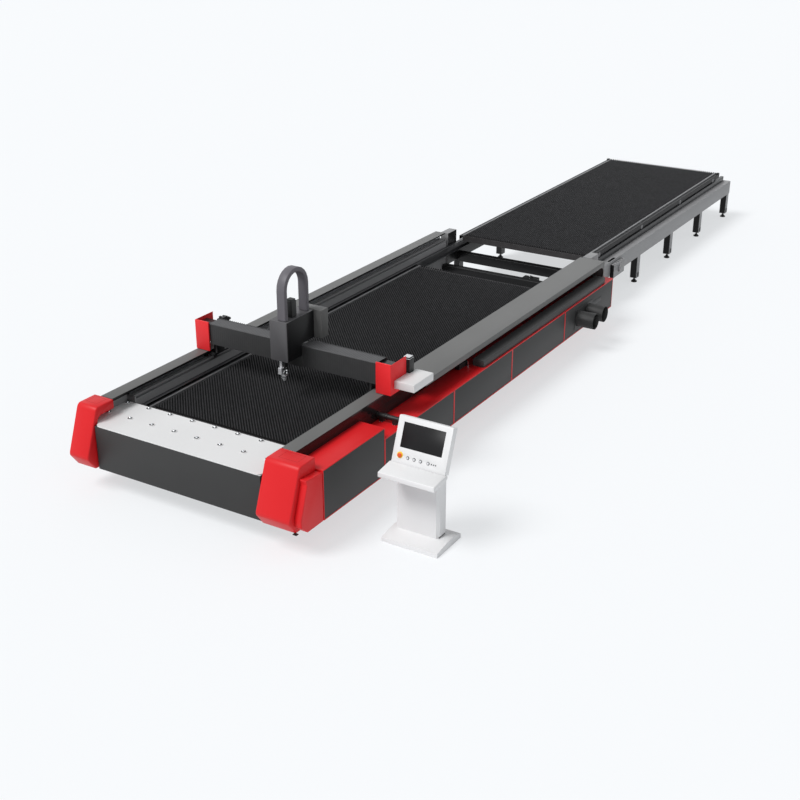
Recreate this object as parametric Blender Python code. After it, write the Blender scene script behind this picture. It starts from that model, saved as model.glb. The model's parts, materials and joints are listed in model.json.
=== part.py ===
"""Fibre laser cutting machine with a two-level shuttle table, a bellows gantry and a console stand.

X runs across the machine, Y from its front panel to the far end of the exchange frame, Z up.
Places are written in machine metres: x from the centreline, y from the front panel, z from the floor.
The root empty then sets the whole box over the origin.
"""

import math

import bmesh
import bpy
from mathutils import Matrix, Vector

# Driving dimensions of the whole machine.
fit_gap = 0.0003
overrun = 0.01
skirt_height = 0.279
bed_front = 0.35
bed_height = 0.889
beam_width = 0.182
table_width = 2.146
table_length = 6.07
table_depth = 0.110

# Spaces between the tables and the frames round them.
table_side_space = 0.083
table_front_space = 0.46
bed_end_space = 1.43
exchange_gap = 0.07
exchange_table_space = 0.40
exchange_end_space = 0.569

table_half = table_width / 2
table_front = bed_front + table_front_space
bed_length = table_length + bed_end_space
bed_back = bed_front + bed_length
beam_inside = table_half + table_side_space
beam_outside = beam_inside + beam_width
exchange_front = bed_back + exchange_gap
exchange_length = table_length + exchange_end_space
exchange_back = exchange_front + exchange_length
exchange_travel = bed_back + exchange_table_space - table_front

# Heights of the two tables' tooth tips and tracks, down from the bed's top.
low_table_drop = 0.140
high_table_drop = 0.013
low_track_drop = 0.104
high_track_drop = 0.112
low_table_height = bed_height - low_table_drop
high_table_height = bed_height - high_table_drop
low_track = low_table_height - low_track_drop
high_track = high_table_height - high_track_drop

# Bed beams, with pockets in their outer faces and levelling feet below.
beam_pocket_count = 6
beam_pocket_share = 0.64
beam_pocket_height = 0.28
beam_pocket_depth = 0.02
beam_pocket_corner = 0.05
bed_foot_shares = (0.035, 0.27, 0.50, 0.73, 0.965)
foot_disc_radius = 0.05
foot_disc_height = 0.02
foot_nut_radius = 0.03
foot_nut_height = 0.02
foot_stem_radius = 0.016
foot_side_count = 8
round_side_count = 12
corner_step_count = 3

# Linear rails on the beam tops, and racks in a rebate on the beams' inner edges.
rail_inset = 0.114
rail_width = 0.030
rail_height = 0.024
rail_start = 0.35
rail_end_margin = 0.02
rebate_width = 0.064
rebate_depth = 0.032
rack_width = 0.020
rack_height = 0.028
rack_inside = beam_inside + rebate_width - rack_width
rail_centre = beam_inside + rail_inset

# Cross members of the bed.
front_cross_place = bed_front + 0.10
front_cross_depth = 0.12
front_cross_rise = 0.021
front_cross_height = 0.12
rear_cross_depth = 0.12
rear_cross_height = 0.15
rear_cross_drop = 0.150
rear_cross_top = low_track - rear_cross_drop

# Front panel and the transfer plate with its ball units.
panel_side_space = 0.025
panel_half_width = beam_inside - panel_side_space
panel_sheet = 0.004
plate_drop = 0.076
plate_height = bed_height - plate_drop
plate_back_reach = 0.329
plate_depth = bed_front + plate_back_reach
plate_thickness = 0.012
plate_corner = 0.06
plate_lip_drop = 0.05
ear_front = 0.066
ear_width = 0.124
ear_half_width = beam_inside + ear_width
ball_count = 8
ball_row_shares = (0.490, 0.940)
ball_left_space = 0.044
ball_right_space = 0.297
ball_cup_radius = 0.034
ball_cup_height = 0.006
ball_radius = 0.022
ball_rise = 0.016
ball_side_count = 8
ball_dome_angles = (20, 50, 75)

# Corner blocks: the folded red housings at the front of both side beams.
block_left_space = 0.018
block_left_width = 0.2855
block_right_space = 0.0215
block_right_width = 0.4295
block_inner_left = panel_half_width + block_left_space
block_outer_left = block_inner_left + block_left_width
block_inner_right = panel_half_width + block_right_space
block_outer_right = block_inner_right + block_right_width
block_back_space = 0.007
block_back = bed_front - block_back_space
block_rise = 0.102
block_top = bed_height + block_rise
block_top_front = 0.089
block_brow_depth = 0.057
block_brow_drop = 0.026
block_nose_depth = 0.133
block_nose_rise = 0.1655
block_toe_depth = 0.025
block_corner = 0.018
block_round = 0.016
block_round_step_count = 2
block_mouth_height = 0.072

# Faceted guard outside the right corner block.
# Its outline is in shares of the block's depth and height, from the nose and the foot.
guard_width = 0.087
guard_shares = ((0.387, 0.822), (0.418, 0.747), (0.158, 0.242), (0.174, 0.132),
                (0.395, 0.003), (0.979, 0.004), (0.981, 0.791))

# Cabinets along the right side.
cabinet_width = 0.332
cabinet_outside = beam_outside + cabinet_width
near_cabinet_drop = 0.0305
near_cabinet_height = bed_height - near_cabinet_drop
near_cabinet_length = 1.174
near_cabinet_back = bed_front + near_cabinet_length
far_cabinet_drop = 0.165
far_cabinet_height = bed_height - far_cabinet_drop
far_cabinet_reach = 0.037
far_cabinet_back = bed_back + far_cabinet_reach
cabinet_divider_shares = (0, 0.2434, 0.4829, 0.7364, 1)
cabinet_frame = 0.012
recess_depth = 0.012
panel_thickness = 0.010

# Cross tube on the far cabinet's top, on two saddles.
cross_tube_place = 1.55
cross_tube_radius = 0.028
cross_tube_rise = 0.066
cross_tube_margin = 0.044
tube_saddle_width = 0.05
tube_saddle_shares = (0.2, 0.8)

# Rail covers.
cover_rise = 0.098
cover_top = bed_height + cover_rise
cover_sheet = 0.004
cover_lip_depth = 0.022
cover_skirt_drop = 0.023
left_cover_space = 0.018
right_cover_space = 0.003
left_cover_inside = beam_inside + left_cover_space
right_cover_inside = beam_inside + right_cover_space
wing_width = 0.212
wing_outside = beam_outside + wing_width
wing_start = 2.25
wing_front = bed_front + wing_start
wing_back_space = 0.04
wing_back = bed_back - wing_back_space
wing_lip_depth = 0.073
wing_lip_low = cover_top - wing_lip_depth
cover_frame_width = 0.025
arc_step_count = 6

# Channels whose two flanges are the upper and lower table tracks.
channel_start = 0.35
channel_end_margin = 0.03
channel_width = 0.056
channel_web = 0.004
channel_flange = 0.008
channel_lip = beam_inside - channel_width

# Exchange frame.
exchange_beam_width = 0.134
exchange_beam_outside = beam_inside + exchange_beam_width
exchange_beam_drop = 0.079
exchange_beam_height = 0.236
exchange_beam_top = high_track - exchange_beam_drop
exchange_beam_low = exchange_beam_top - exchange_beam_height
leg_count = 5
leg_first_margin = 0.506
leg_last_margin = 0.091
leg_width = 0.11
leg_depth = 0.12
leg_low = 0.08
end_post_length = 0.27
end_post_rise = 0.071
beam_slot_start = 0.78
beam_slot_length = 0.24
beam_slot_width = 0.040
beam_slot_margin = 0.015
beam_slot_depth = 0.030
cross_width = 0.12
cross_height = 0.149
cross_drop = 0.126
cross_top = exchange_beam_top - cross_drop
near_cross_start = 0.35
far_cross_margin = 0.16
drive_start = 0.79
drive_length = 0.43
drive_width = 0.060
drive_drop = 0.045
drive_height = 0.210
drive_hole_count = 5
drive_hole_radius = 0.009
drive_hole_depth = 0.012
drive_hole_margin = 0.045
drive_hole_drop = 0.035
drive_nose_radius = 0.050
drive_nose_length = 0.030
shaft_start = 1.01
shaft_place = exchange_front + shaft_start
shaft_rise = 0.136
shaft_height = exchange_beam_low + shaft_rise
shaft_radius = 0.018
bearing_radius = 0.042
bearing_width = 0.025
sprocket_radius = 0.036
sprocket_width = 0.014
sprocket_inset = 0.013
sprocket_tooth_count = 12
sprocket_tooth_depth = 0.006

# Shuttle tables.
rail_bar_width = 0.040
slat_count = 20
slat_thickness = 0.006
slat_drop = 0.085
tooth_count = 10
tooth_height = 0.030
slat_bite = 0.004
wheel_radius = 0.040
wheel_width = 0.040
wheel_gap = 0.022
axle_radius = 0.012
wheel_shares = (0.06, 0.35, 0.65, 0.94)

# Chain tray and extraction ducts on the right side.
tray_space = 0.021
tray_width = 0.155
tray_inside = cabinet_outside - tray_space - tray_width
tray_start = 3.50
tray_front = bed_front + tray_start
tray_back_space = 0.23
tray_height = 0.0887
tray_sheet = 0.003
duct_radius = 0.1145
duct_wall = 0.004
duct_length = 0.26
duct_back_space = 0.840
duct_pitch = 0.323
duct_drop = 0.240
duct_step = 0.009
duct_flange_margin = 0.028
duct_flange_thickness = 0.004
duct_strip_length = 0.31
duct_strip_height = 0.06
duct_side_count = 24

# Gantry.
gantry_start = 1.73
gantry_front = bed_front + gantry_start
gantry_depth = 0.146
gantry_back = gantry_front + gantry_depth
gantry_rise = 0.201
gantry_low = bed_height + gantry_rise
gantry_height = 0.228
gantry_top = gantry_low + gantry_height
x_rail_shares = (0.1667, 0.7807)
x_rail_height = 0.024
x_rail_depth = 0.020
x_rail_end = 0.012
cap_reach = 0.073
cap_front = gantry_front - cap_reach
cap_depth = 0.336
cap_drop = 0.096
cap_low = gantry_low - cap_drop
cap_height = 0.371
cap_sheet = 0.004
cap_return = 0.020
left_cap_overlap = 0.014
left_cap_width = 0.2035
left_cap_inside = beam_inside - left_cap_overlap
left_cap_outside = left_cap_inside + left_cap_width
right_cap_space = 0.089
right_cap_width = 0.197
right_cap_inside = beam_inside + right_cap_space
right_cap_outside = right_cap_inside + right_cap_width
bellows_front_space = 0.048
bellows_back_space = 0.028
bellows_drop = 0.008
bellows_front = gantry_front - bellows_front_space
bellows_back = gantry_back + bellows_back_space
bellows_low = gantry_low - bellows_drop
bellows_top = gantry_top + bellows_back_space
bellows_fold = 0.016
bellows_wall = 0.004
bellows_corner = 0.010
bellows_pitch = 0.056
bearing_block_width = 0.064
bearing_block_rise = 0.007
bearing_block_height = 0.038
bearing_block_low = bed_height + bearing_block_rise
bearing_block_top = bearing_block_low + bearing_block_height
bearing_block_length = 0.080
arm_thickness = 0.025
arm_reach = 0.050
arm_front = gantry_front - arm_reach
arm_length = 0.300
riser_overlap = 0.052
riser_inside = left_cap_inside - riser_overlap
riser_width = 0.050
pinion_radius = 0.0215
pinion_height = 0.018
pinion_lift = 0.004
pinion_low = bed_height - rebate_depth + pinion_lift
pinion_shaft_radius = 0.009
left_motor_overlap = 0.062
left_motor_inside = left_cap_inside - left_motor_overlap
left_motor_width = 0.100
left_motor_space = 0.074
left_motor_front = gantry_back + left_motor_space
left_motor_depth = 0.200
left_motor_rise = 0.060
left_motor_height = 0.247
left_motor_low = gantry_low + left_motor_rise
left_motor_top = left_motor_low + left_motor_height
right_motor_inset = 0.060
right_motor_inside = right_cap_outside - right_motor_inset
right_motor_width = 0.094
right_motor_space = 0.134
right_motor_front = gantry_back + right_motor_space
right_motor_depth = 0.100
right_motor_rise = 0.028
right_motor_height = 0.222
right_motor_low = gantry_low + right_motor_rise
right_motor_top = right_motor_low + right_motor_height
motor_flange = 0.012
motor_cap = 0.020
motor_cap_inset = 0.006
junction_width = 0.260
junction_outside = right_cap_outside + junction_width
junction_setback = 0.003
junction_reach = 0.289
junction_front = gantry_front + junction_setback
junction_back = gantry_back + junction_reach
junction_drop = 0.030
junction_height = 0.095
junction_low = gantry_low - junction_drop
junction_top = junction_low + junction_height

# Cutting head carriage.
carriage_left = -0.018
carriage_width = 0.241
carriage_right = carriage_left + carriage_width
saddle_reach = 0.044
saddle_front = gantry_front - saddle_reach
saddle_thickness = 0.018
saddle_drop = 0.023
saddle_low = gantry_low - saddle_drop
housing_reach = 0.327
housing_front = gantry_front - housing_reach
housing_rise = 0.129
housing_low = gantry_low + housing_rise
housing_height = 0.483
housing_top = housing_low + housing_height
housing_overhang = 0.060
housing_back = gantry_back + housing_overhang
housing_clear = 0.0443
housing_shelf = gantry_top + housing_clear
front_cover_thickness = 0.012
front_cover_bevel = 0.022
front_cover_margin = 0.006
front_cover_right = carriage_right - front_cover_margin
rear_cover_length = 0.140
rear_cover_back = housing_back + rear_cover_length
rear_cover_overlap = 0.108
rear_cover_right = carriage_right + rear_cover_overlap
rear_cover_rise = 0.006
rear_cover_top = housing_top + rear_cover_rise
arch_inset = 0.095
arch_left = carriage_left + arch_inset
arch_width = 0.114
arch_front_margin = 0.025
arch_back_margin = 0.038
arch_front = housing_front + arch_front_margin
arch_back = housing_back - arch_back_margin
arch_rise = 0.584
arch_top = housing_top + arch_rise
arch_band = 0.057
arch_step_count = 12
z_motor_inset = 0.108
z_motor_left = carriage_left + z_motor_inset
z_motor_width = 0.088
z_motor_setback = 0.173
z_motor_front = housing_front + z_motor_setback
z_motor_height = 0.216
z_motor_top = housing_top + z_motor_height

# Cutting head: a guided slide, a turned body and the nozzle.
head_inset = 0.133
head_setback = 0.0645
head_across = carriage_left + head_inset
head_along = housing_front + head_setback
slide_width = 0.080
slide_depth = 0.074
slide_engagement = 0.181
slide_drop = 0.069
slide_top = housing_low + slide_engagement
slide_low = housing_low - slide_drop
slide_clear = 0.0005
head_lift = 0.050
nozzle_clear = 0.0765
nozzle_tip = high_table_height + nozzle_clear
head_radius = 0.033
head_profile_shares = ((1, 1), (1, 0.848), (0.818, 0.818), (0.818, 0.544), (1, 0.514), (1, 0.342),
                       (0.636, 0.281), (0.636, 0.2), (0.455, 0.139), (0.182, 0))
head_side_count = 20

# Console stand.
console_space = 0.465
console_width = 0.670
console_left = cabinet_outside + console_space
console_right = console_left + console_width
console_front = 0.700
console_depth = 0.498
console_back = console_front + console_depth
plinth_height = 0.050
plinth_crown = 0.085
column_inset = 0.063
column_width = 0.500
column_setback = 0.211
column_depth = 0.149
column_left = console_left + column_inset
column_right = column_left + column_width
column_front = console_front + column_setback
column_back = column_front + column_depth
column_chamfer = 0.030
screen_inset = 0.021
screen_width = 0.629
screen_left = console_left + screen_inset
screen_right = screen_left + screen_width
face_setback = 0.166
face_front = console_front + face_setback
face_low = 0.872
face_lean = 0.174
face_rise = 0.456
slab_thickness = 0.087
shelf_margin = 0.007
shelf_right = console_right - shelf_margin
shelf_reach = 0.066
shelf_front = console_front - shelf_reach
shelf_fall = 0.029
shelf_front_height = face_low - shelf_fall
shelf_thickness = 0.061
screen_across_shares = (0.11, 0.885)
screen_down_shares = (0.12, 0.66)
screen_depth = 0.006
glass_thickness = 0.005
button_across_shares = (0.29, 0.41, 0.53, 0.67)
button_down_share = 0.85
button_radius = 0.0125
button_height = 0.008
button_travel = 0.004
stop_across_share = 0.14
stop_down_share = 0.83
stop_radius = 0.024
stop_stem_radius = 0.013
stop_cap_height = 0.014
stop_travel = 0.006
well_margin = 0.002

# The whole machine's box, from the sizes that reach furthest.
box_left = -block_outer_left
box_right = console_right
box_front = -block_nose_depth
box_back = exchange_back
machine_centre = Vector(((box_left + box_right) / 2, (box_front + box_back) / 2, 0))

SIDES = {"left": -1, "right": 1}
AXES = {"x": 0, "y": 1, "z": 2}


# Building tools.

def clear_scene():
    for old in list(bpy.data.objects):
        bpy.data.objects.remove(old)


def finish(name, colour, roughness, metallic=0.0):
    material = bpy.data.materials.new(name)
    material.use_nodes = True
    shader = material.node_tree.nodes["Principled BSDF"]
    shader.inputs["Base Color"].default_value = (*colour, 1)
    shader.inputs["Roughness"].default_value = roughness
    shader.inputs["Metallic"].default_value = metallic
    return material


def as_mesh(shape):
    bmesh.ops.recalc_face_normals(shape, faces=shape.faces)
    mesh = bpy.data.meshes.new("shape")
    shape.to_mesh(mesh)
    shape.free()
    return mesh


def point_on(axis, along, pair):
    """The point whose coordinate on the axis is along and whose other two are the pair, in X, Y, Z order."""
    point = list(pair)
    point.insert(AXES[axis], along)
    return Vector(point)


def prism(axis, outline, start, end):
    """An outline, given in the other two coordinates, extruded along the axis from start to end."""
    shape = bmesh.new()
    near = [shape.verts.new(point_on(axis, start, pair)) for pair in outline]
    far = [shape.verts.new(point_on(axis, end, pair)) for pair in outline]
    shape.faces.new(near)
    shape.faces.new(far)
    for index in range(len(outline)):
        after = (index + 1) % len(outline)
        shape.faces.new((near[index], near[after], far[after], far[index]))
    return as_mesh(shape)


def block(low, high):
    outline = ((low[0], low[1]), (high[0], low[1]), (high[0], high[1]), (low[0], high[1]))
    return prism("z", outline, low[2], high[2])


def circle(centre, radius, sides):
    turn = math.tau / sides
    return [(centre[0] + radius * math.cos(turn * step), centre[1] + radius * math.sin(turn * step))
            for step in range(sides)]


def rod(axis, centre, radius, start, end, sides=round_side_count):
    return prism(axis, circle(centre, radius, sides), start, end)


def arc(centre, radius, start, end, steps):
    """Points on an arc, with its angles in degrees."""
    span = end - start
    angles = [math.radians(start + span * step / steps) for step in range(steps + 1)]
    return [(centre[0] + radius * math.cos(angle), centre[1] + radius * math.sin(angle)) for angle in angles]


def turned(centre, profile, sides):
    """A profile of (radius, height) pairs spun about a vertical axis and closed at both ends."""
    shape = bmesh.new()
    rings = []
    for radius, height in profile:
        ring = [shape.verts.new((*pair, height)) for pair in circle(centre, radius, sides)]
        rings.append(ring)
    for lower, upper in zip(rings, rings[1:]):
        for index in range(sides):
            after = (index + 1) % sides
            shape.faces.new((lower[index], lower[after], upper[after], upper[index]))
    shape.faces.new(rings[0])
    shape.faces.new(rings[-1])
    return as_mesh(shape)


def gathered(meshes):
    """Several shapes that don't touch, in one mesh."""
    shape = bmesh.new()
    for mesh in meshes:
        shape.from_mesh(mesh)
        bpy.data.meshes.remove(mesh)
    return as_mesh(shape)


def combined(base, added=(), cut=()):
    """The base mesh with others joined to it and others cut from it by exact Booleans."""
    helpers = []
    body = bpy.data.objects.new("combined_body", base)
    bpy.context.collection.objects.link(body)
    for operation, meshes in (("UNION", added), ("DIFFERENCE", cut)):
        for mesh in meshes:
            helper = bpy.data.objects.new("combined_helper", mesh)
            bpy.context.collection.objects.link(helper)
            helpers.append(helper)
            modifier = body.modifiers.new(operation.lower(), "BOOLEAN")
            modifier.operation = operation
            modifier.solver = "EXACT"
            modifier.object = helper
    graph = bpy.context.evaluated_depsgraph_get()
    result = bpy.data.meshes.new_from_object(body.evaluated_get(graph))
    for spare in (body, *helpers):
        old_mesh = spare.data
        bpy.data.objects.remove(spare)
        bpy.data.meshes.remove(old_mesh)
    return result


def moved(mesh, matrix):
    mesh.transform(matrix)
    return mesh


def mirrored(mesh, side):
    """The mesh as it is on the right, or its mirror image across the centreline on the left."""
    if SIDES[side] < 0:
        mesh.transform(Matrix.Scale(-1, 4, Vector((1, 0, 0))))
        mesh.flip_normals()
    return mesh


def empty(name, place, parent=None):
    holder = bpy.data.objects.new(name, None)
    bpy.context.collection.objects.link(holder)
    holder["machine_place"] = tuple(place)
    holder.parent = parent
    holder.location = Vector(place) - (Vector(parent["machine_place"]) if parent else machine_centre)
    return holder


def node(name, mesh, holder, material, smooth=False):
    """One named piece under its body's empty, whose place becomes the mesh's origin."""
    mesh.name = name
    mesh.transform(Matrix.Translation(-Vector(holder["machine_place"])))
    mesh.materials.clear()
    mesh.materials.append(material)
    if smooth:
        mesh.shade_smooth()
        mesh.set_sharp_from_angle(angle=math.radians(35))
    piece = bpy.data.objects.new(name, mesh)
    bpy.context.collection.objects.link(piece)
    piece.parent = holder
    return piece


# Bed.

def foot(axis_place, top):
    """A levelling foot: a disc on the floor, a nut and a threaded stem up to the piece it carries."""
    nut_top = foot_disc_height + foot_nut_height
    profile = ((foot_disc_radius, 0), (foot_disc_radius, foot_disc_height),
               (foot_nut_radius, foot_disc_height), (foot_nut_radius, nut_top),
               (foot_stem_radius, nut_top), (foot_stem_radius, top))
    return turned(axis_place, profile, foot_side_count)


def rounded_rectangle(low, high, radius):
    corners = ((high[0] - radius, high[1] - radius, 0), (low[0] + radius, high[1] - radius, 90),
               (low[0] + radius, low[1] + radius, 180), (high[0] - radius, low[1] + radius, 270))
    points = []
    for across, up, angle in corners:
        points += arc((across, up), radius, angle, angle + 90, corner_step_count)
    return points


def bed_beam():
    """A box beam with a rebate on its inner edge for the rack, and a seat for the transfer plate in front."""
    beam = block((beam_inside, bed_front, skirt_height), (beam_outside, bed_back, bed_height))
    centre = (beam_inside + beam_outside) / 2
    feet = [foot((centre, bed_front + share * bed_length), skirt_height + overrun)
            for share in bed_foot_shares]
    middle = (skirt_height + bed_height) / 2
    pitch = bed_length / beam_pocket_count
    length = pitch * beam_pocket_share
    cuts = []
    for index in range(beam_pocket_count):
        front = bed_front + index * pitch + (pitch - length) / 2
        outline = rounded_rectangle((front, middle - beam_pocket_height / 2),
                                    (front + length, middle + beam_pocket_height / 2), beam_pocket_corner)
        cuts.append(prism("x", outline, beam_outside - beam_pocket_depth, beam_outside + overrun))
    seat_back = plate_depth + fit_gap
    seat = block((beam_inside - overrun, bed_front - overrun, plate_height - plate_thickness - fit_gap),
                 (ear_half_width + fit_gap, seat_back, bed_height + overrun))
    rebate_floor = bed_height - rebate_depth
    rebate = block((beam_inside - overrun, bed_front + rail_start, rebate_floor),
                   (beam_inside + rebate_width, bed_back + overrun, bed_height + overrun))
    rack = block((rack_inside, bed_front + rail_start, rebate_floor - overrun),
                 (rack_inside + rack_width + overrun, bed_back - rail_end_margin, rebate_floor + rack_height))
    hollow = combined(beam, cut=[gathered(cuts), seat, rebate])
    return combined(hollow, added=[gathered(feet), rack])


def cross_member(front, depth, low, top):
    half = beam_inside - fit_gap
    return block((-half, front, low), (half, front + depth, top))


def table_channel():
    web_outside = beam_inside - fit_gap
    web_inside = web_outside - channel_web
    low = low_track - channel_flange
    outline = ((channel_lip, low), (web_outside, low), (web_outside, high_track), (channel_lip, high_track),
               (channel_lip, high_track - channel_flange), (web_inside, high_track - channel_flange),
               (web_inside, low_track), (channel_lip, low_track))
    return prism("y", outline, bed_front + channel_start, exchange_back - channel_end_margin)


def make_bed(root, paint):
    for side in SIDES:
        node("bed_beam_" + side, mirrored(bed_beam(), side), root, paint["black"])
        node("table_channel_" + side, mirrored(table_channel(), side), root, paint["black"])
        rail_low = bed_height + fit_gap
        rail = block((rail_centre - rail_width / 2, bed_front + rail_start, rail_low),
                     (rail_centre + rail_width / 2, bed_back - rail_end_margin, bed_height + rail_height))
        node("linear_rail_" + side, mirrored(rail, side), root, paint["steel"])
    front_low = skirt_height + front_cross_rise
    node("bed_cross_front", cross_member(front_cross_place, front_cross_depth, front_low,
                                         front_low + front_cross_height), root, paint["black"])
    rear = cross_member(bed_back - rear_cross_depth, rear_cross_depth, rear_cross_top - rear_cross_height,
                        rear_cross_top)
    node("bed_cross_rear", rear, root, paint["black"])


# Front of the machine.

def front_panel():
    """A sheet folded into a front face and two cheeks that run back to the front cross member."""
    top = plate_height - plate_thickness - fit_gap
    back = front_cross_place - fit_gap
    inner = panel_half_width - panel_sheet
    outline = ((-panel_half_width, 0), (panel_half_width, 0), (panel_half_width, back), (inner, back),
               (inner, panel_sheet), (-inner, panel_sheet), (-inner, back), (-panel_half_width, back))
    return prism("z", outline, skirt_height, top)


def ball_unit(place):
    cup_top = plate_height + ball_cup_height
    profile = [(ball_cup_radius, plate_height - plate_thickness / 2), (ball_cup_radius, cup_top)]
    for degrees in ball_dome_angles:
        angle = math.radians(degrees)
        profile.append((ball_radius * math.cos(angle), cup_top + ball_rise * math.sin(angle)))
    return turned(place, profile, ball_side_count)


def transfer_plate():
    """The plate between the corner blocks, with an ear on each side that runs into them."""
    low = plate_height - plate_thickness
    inner = panel_half_width
    outer = ear_half_width
    front_left = arc((-inner + plate_corner, plate_corner), plate_corner, 180, 270, corner_step_count)
    front_right = arc((inner - plate_corner, plate_corner), plate_corner, 270, 360, corner_step_count)
    outline = front_left + front_right + [(inner, ear_front), (outer, ear_front), (outer, plate_depth),
                                          (-outer, plate_depth), (-outer, ear_front), (-inner, ear_front)]
    plate = prism("z", outline, low, plate_height)
    lip = block((-panel_half_width, plate_depth - panel_sheet, low - plate_lip_drop),
                (panel_half_width, plate_depth, low + plate_thickness / 2))
    first = ball_left_space - ear_half_width
    last = ear_half_width - ball_right_space
    pitch = (last - first) / (ball_count - 1)
    balls = [ball_unit((first + index * pitch, share * plate_depth))
             for share in ball_row_shares for index in range(ball_count)]
    return combined(plate, added=[lip, gathered(balls)])


def softened(mesh, width, steps):
    """The mesh with its edges rounded."""
    body = bpy.data.objects.new("softened_body", mesh)
    bpy.context.collection.objects.link(body)
    modifier = body.modifiers.new("rounded_edges", "BEVEL")
    modifier.width = width
    modifier.segments = steps
    modifier.limit_method = "NONE"
    graph = bpy.context.evaluated_depsgraph_get()
    result = bpy.data.meshes.new_from_object(body.evaluated_get(graph))
    bpy.data.objects.remove(body)
    bpy.data.meshes.remove(mesh)
    return result


def corner_block(inner, outer):
    """The folded housing: a steep front that leans out to a nose, a rounded brow and a chin that runs back.

    Its inner side stands open above the transfer plate, whose ear runs in there."""
    nose = skirt_height + block_nose_rise
    brow = block_top - block_brow_drop
    outline = [(block_back, block_top), (block_top_front, block_top), (block_brow_depth, brow),
               (-block_nose_depth, nose + block_corner), (-block_nose_depth, nose - block_corner),
               (-block_toe_depth, skirt_height), (block_back, skirt_height)]
    shell = softened(prism("x", outline, inner, outer), block_round, block_round_step_count)
    floor = plate_height - plate_thickness - fit_gap
    lintel = plate_height + block_mouth_height
    front = ear_front - fit_gap
    end = block_back + overrun
    mouth_corner = arc((front + block_mouth_height, plate_height), block_mouth_height, 90, 180,
                       corner_step_count)
    mouth = prism("x", [(end, floor), (end, lintel)] + mouth_corner + [(front, floor)],
                  inner - overrun, ear_half_width + fit_gap)
    return combined(shell, cut=[mouth])


def make_front(root, paint):
    node("front_panel", front_panel(), root, paint["dark"])
    node("ball_transfer_plate", transfer_plate(), root, paint["white"])
    left = mirrored(corner_block(block_inner_left, block_outer_left), "left")
    node("corner_block_left", left, root, paint["red"])
    node("corner_block_right", corner_block(block_inner_right, block_outer_right), root, paint["red"])
    guard_inside = block_outer_right + fit_gap
    depth = block_back + block_nose_depth
    height = block_top - skirt_height
    guard_outline = [(along * depth - block_nose_depth, skirt_height + up * height)
                     for along, up in guard_shares]
    guard = prism("x", guard_outline, guard_inside, guard_inside + guard_width)
    node("side_guard", guard, root, paint["red"])


# Cabinets, covers and what stands on the right side.

def recess_outline(front, back, top, margin):
    low = skirt_height + margin
    high = top - margin
    return ((front + margin, low), (back - margin, low), (back - margin, high), (front + margin, high))


def cabinet(front, back, top, bays):
    """A closed housing with a shallow recess for each panel in its outer face."""
    body = block((beam_outside + fit_gap, front, skirt_height), (cabinet_outside, back, top))
    recesses = [prism("x", recess_outline(start, end, top, cabinet_frame),
                      cabinet_outside - recess_depth, cabinet_outside + overrun) for start, end in bays]
    return combined(body, cut=[gathered(recesses)])


def cabinet_panel(bay, top):
    bottom = cabinet_outside - recess_depth + fit_gap
    outline = recess_outline(bay[0], bay[1], top, cabinet_frame + fit_gap)
    return prism("x", outline, bottom, bottom + panel_thickness)


def cross_tube():
    """The tube that lies across the far cabinet's top, with the saddles that hold it."""
    along = bed_front + cross_tube_place
    height = far_cabinet_height + cross_tube_rise
    start = beam_outside + fit_gap
    end = cabinet_outside - cross_tube_margin
    tube = rod("x", (along, height), cross_tube_radius, start, end)
    saddles = []
    for share in tube_saddle_shares:
        left = start + share * (end - start) - tube_saddle_width / 2
        saddles.append(block((left, along - tube_saddle_width / 2, far_cabinet_height - overrun),
                             (left + tube_saddle_width, along + tube_saddle_width / 2, height)))
    return combined(tube, added=[gathered(saddles)])


def make_cabinets(root, paint):
    near_bay = (block_back + fit_gap, near_cabinet_back)
    node("near_cabinet", cabinet(*near_bay, near_cabinet_height, [near_bay]), root, paint["red"])
    node("near_cabinet_panel", cabinet_panel(near_bay, near_cabinet_height), root, paint["dark"])
    front = near_cabinet_back + fit_gap
    length = far_cabinet_back - front
    places = [front + share * length for share in cabinet_divider_shares]
    bays = list(zip(places, places[1:]))
    far_cabinet = combined(cabinet(front, far_cabinet_back, far_cabinet_height, bays), added=[cross_tube()])
    node("far_cabinet", far_cabinet, root, paint["red"])
    for number, bay in enumerate(bays, 1):
        node("far_cabinet_panel_" + str(number), cabinet_panel(bay, far_cabinet_height), root, paint["dark"])


def cover_section(inside):
    """A roof with a short lip on its inner edge and a skirt down the beam's outer face."""
    outside = beam_outside + fit_gap + cover_sheet
    roof_low = cover_top - cover_sheet
    skirt_inside = outside - cover_sheet
    cover_lip_low = cover_top - cover_lip_depth
    cover_skirt_low = bed_height - cover_skirt_drop
    return ((inside, cover_lip_low), (inside + cover_sheet, cover_lip_low), (inside + cover_sheet, roof_low),
            (skirt_inside, roof_low), (skirt_inside, cover_skirt_low), (outside, cover_skirt_low),
            (outside, cover_top), (inside, cover_top))


def right_cover():
    front = block_back + fit_gap
    spine = prism("y", cover_section(right_cover_inside), front, wing_back)
    roof_low = cover_top - cover_sheet
    wing = block((beam_outside, wing_front, roof_low), (wing_outside, wing_back, cover_top))
    deck = far_cabinet_height + fit_gap
    radius = (wing_lip_low - deck) / 2
    rounding = arc((wing_back - radius - cover_frame_width, deck + radius), radius, 90, -90, arc_step_count)
    lip_outline = [(wing_front, cover_top), (wing_front, wing_lip_low)] + rounding
    lip_outline += [(wing_back, deck), (wing_back, cover_top)]
    lip = prism("x", lip_outline, wing_outside - cover_sheet, wing_outside)
    end = block((beam_outside + fit_gap, wing_back - cover_sheet, deck), (wing_outside, wing_back, cover_top))
    return combined(spine, added=[wing, lip, end])


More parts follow.
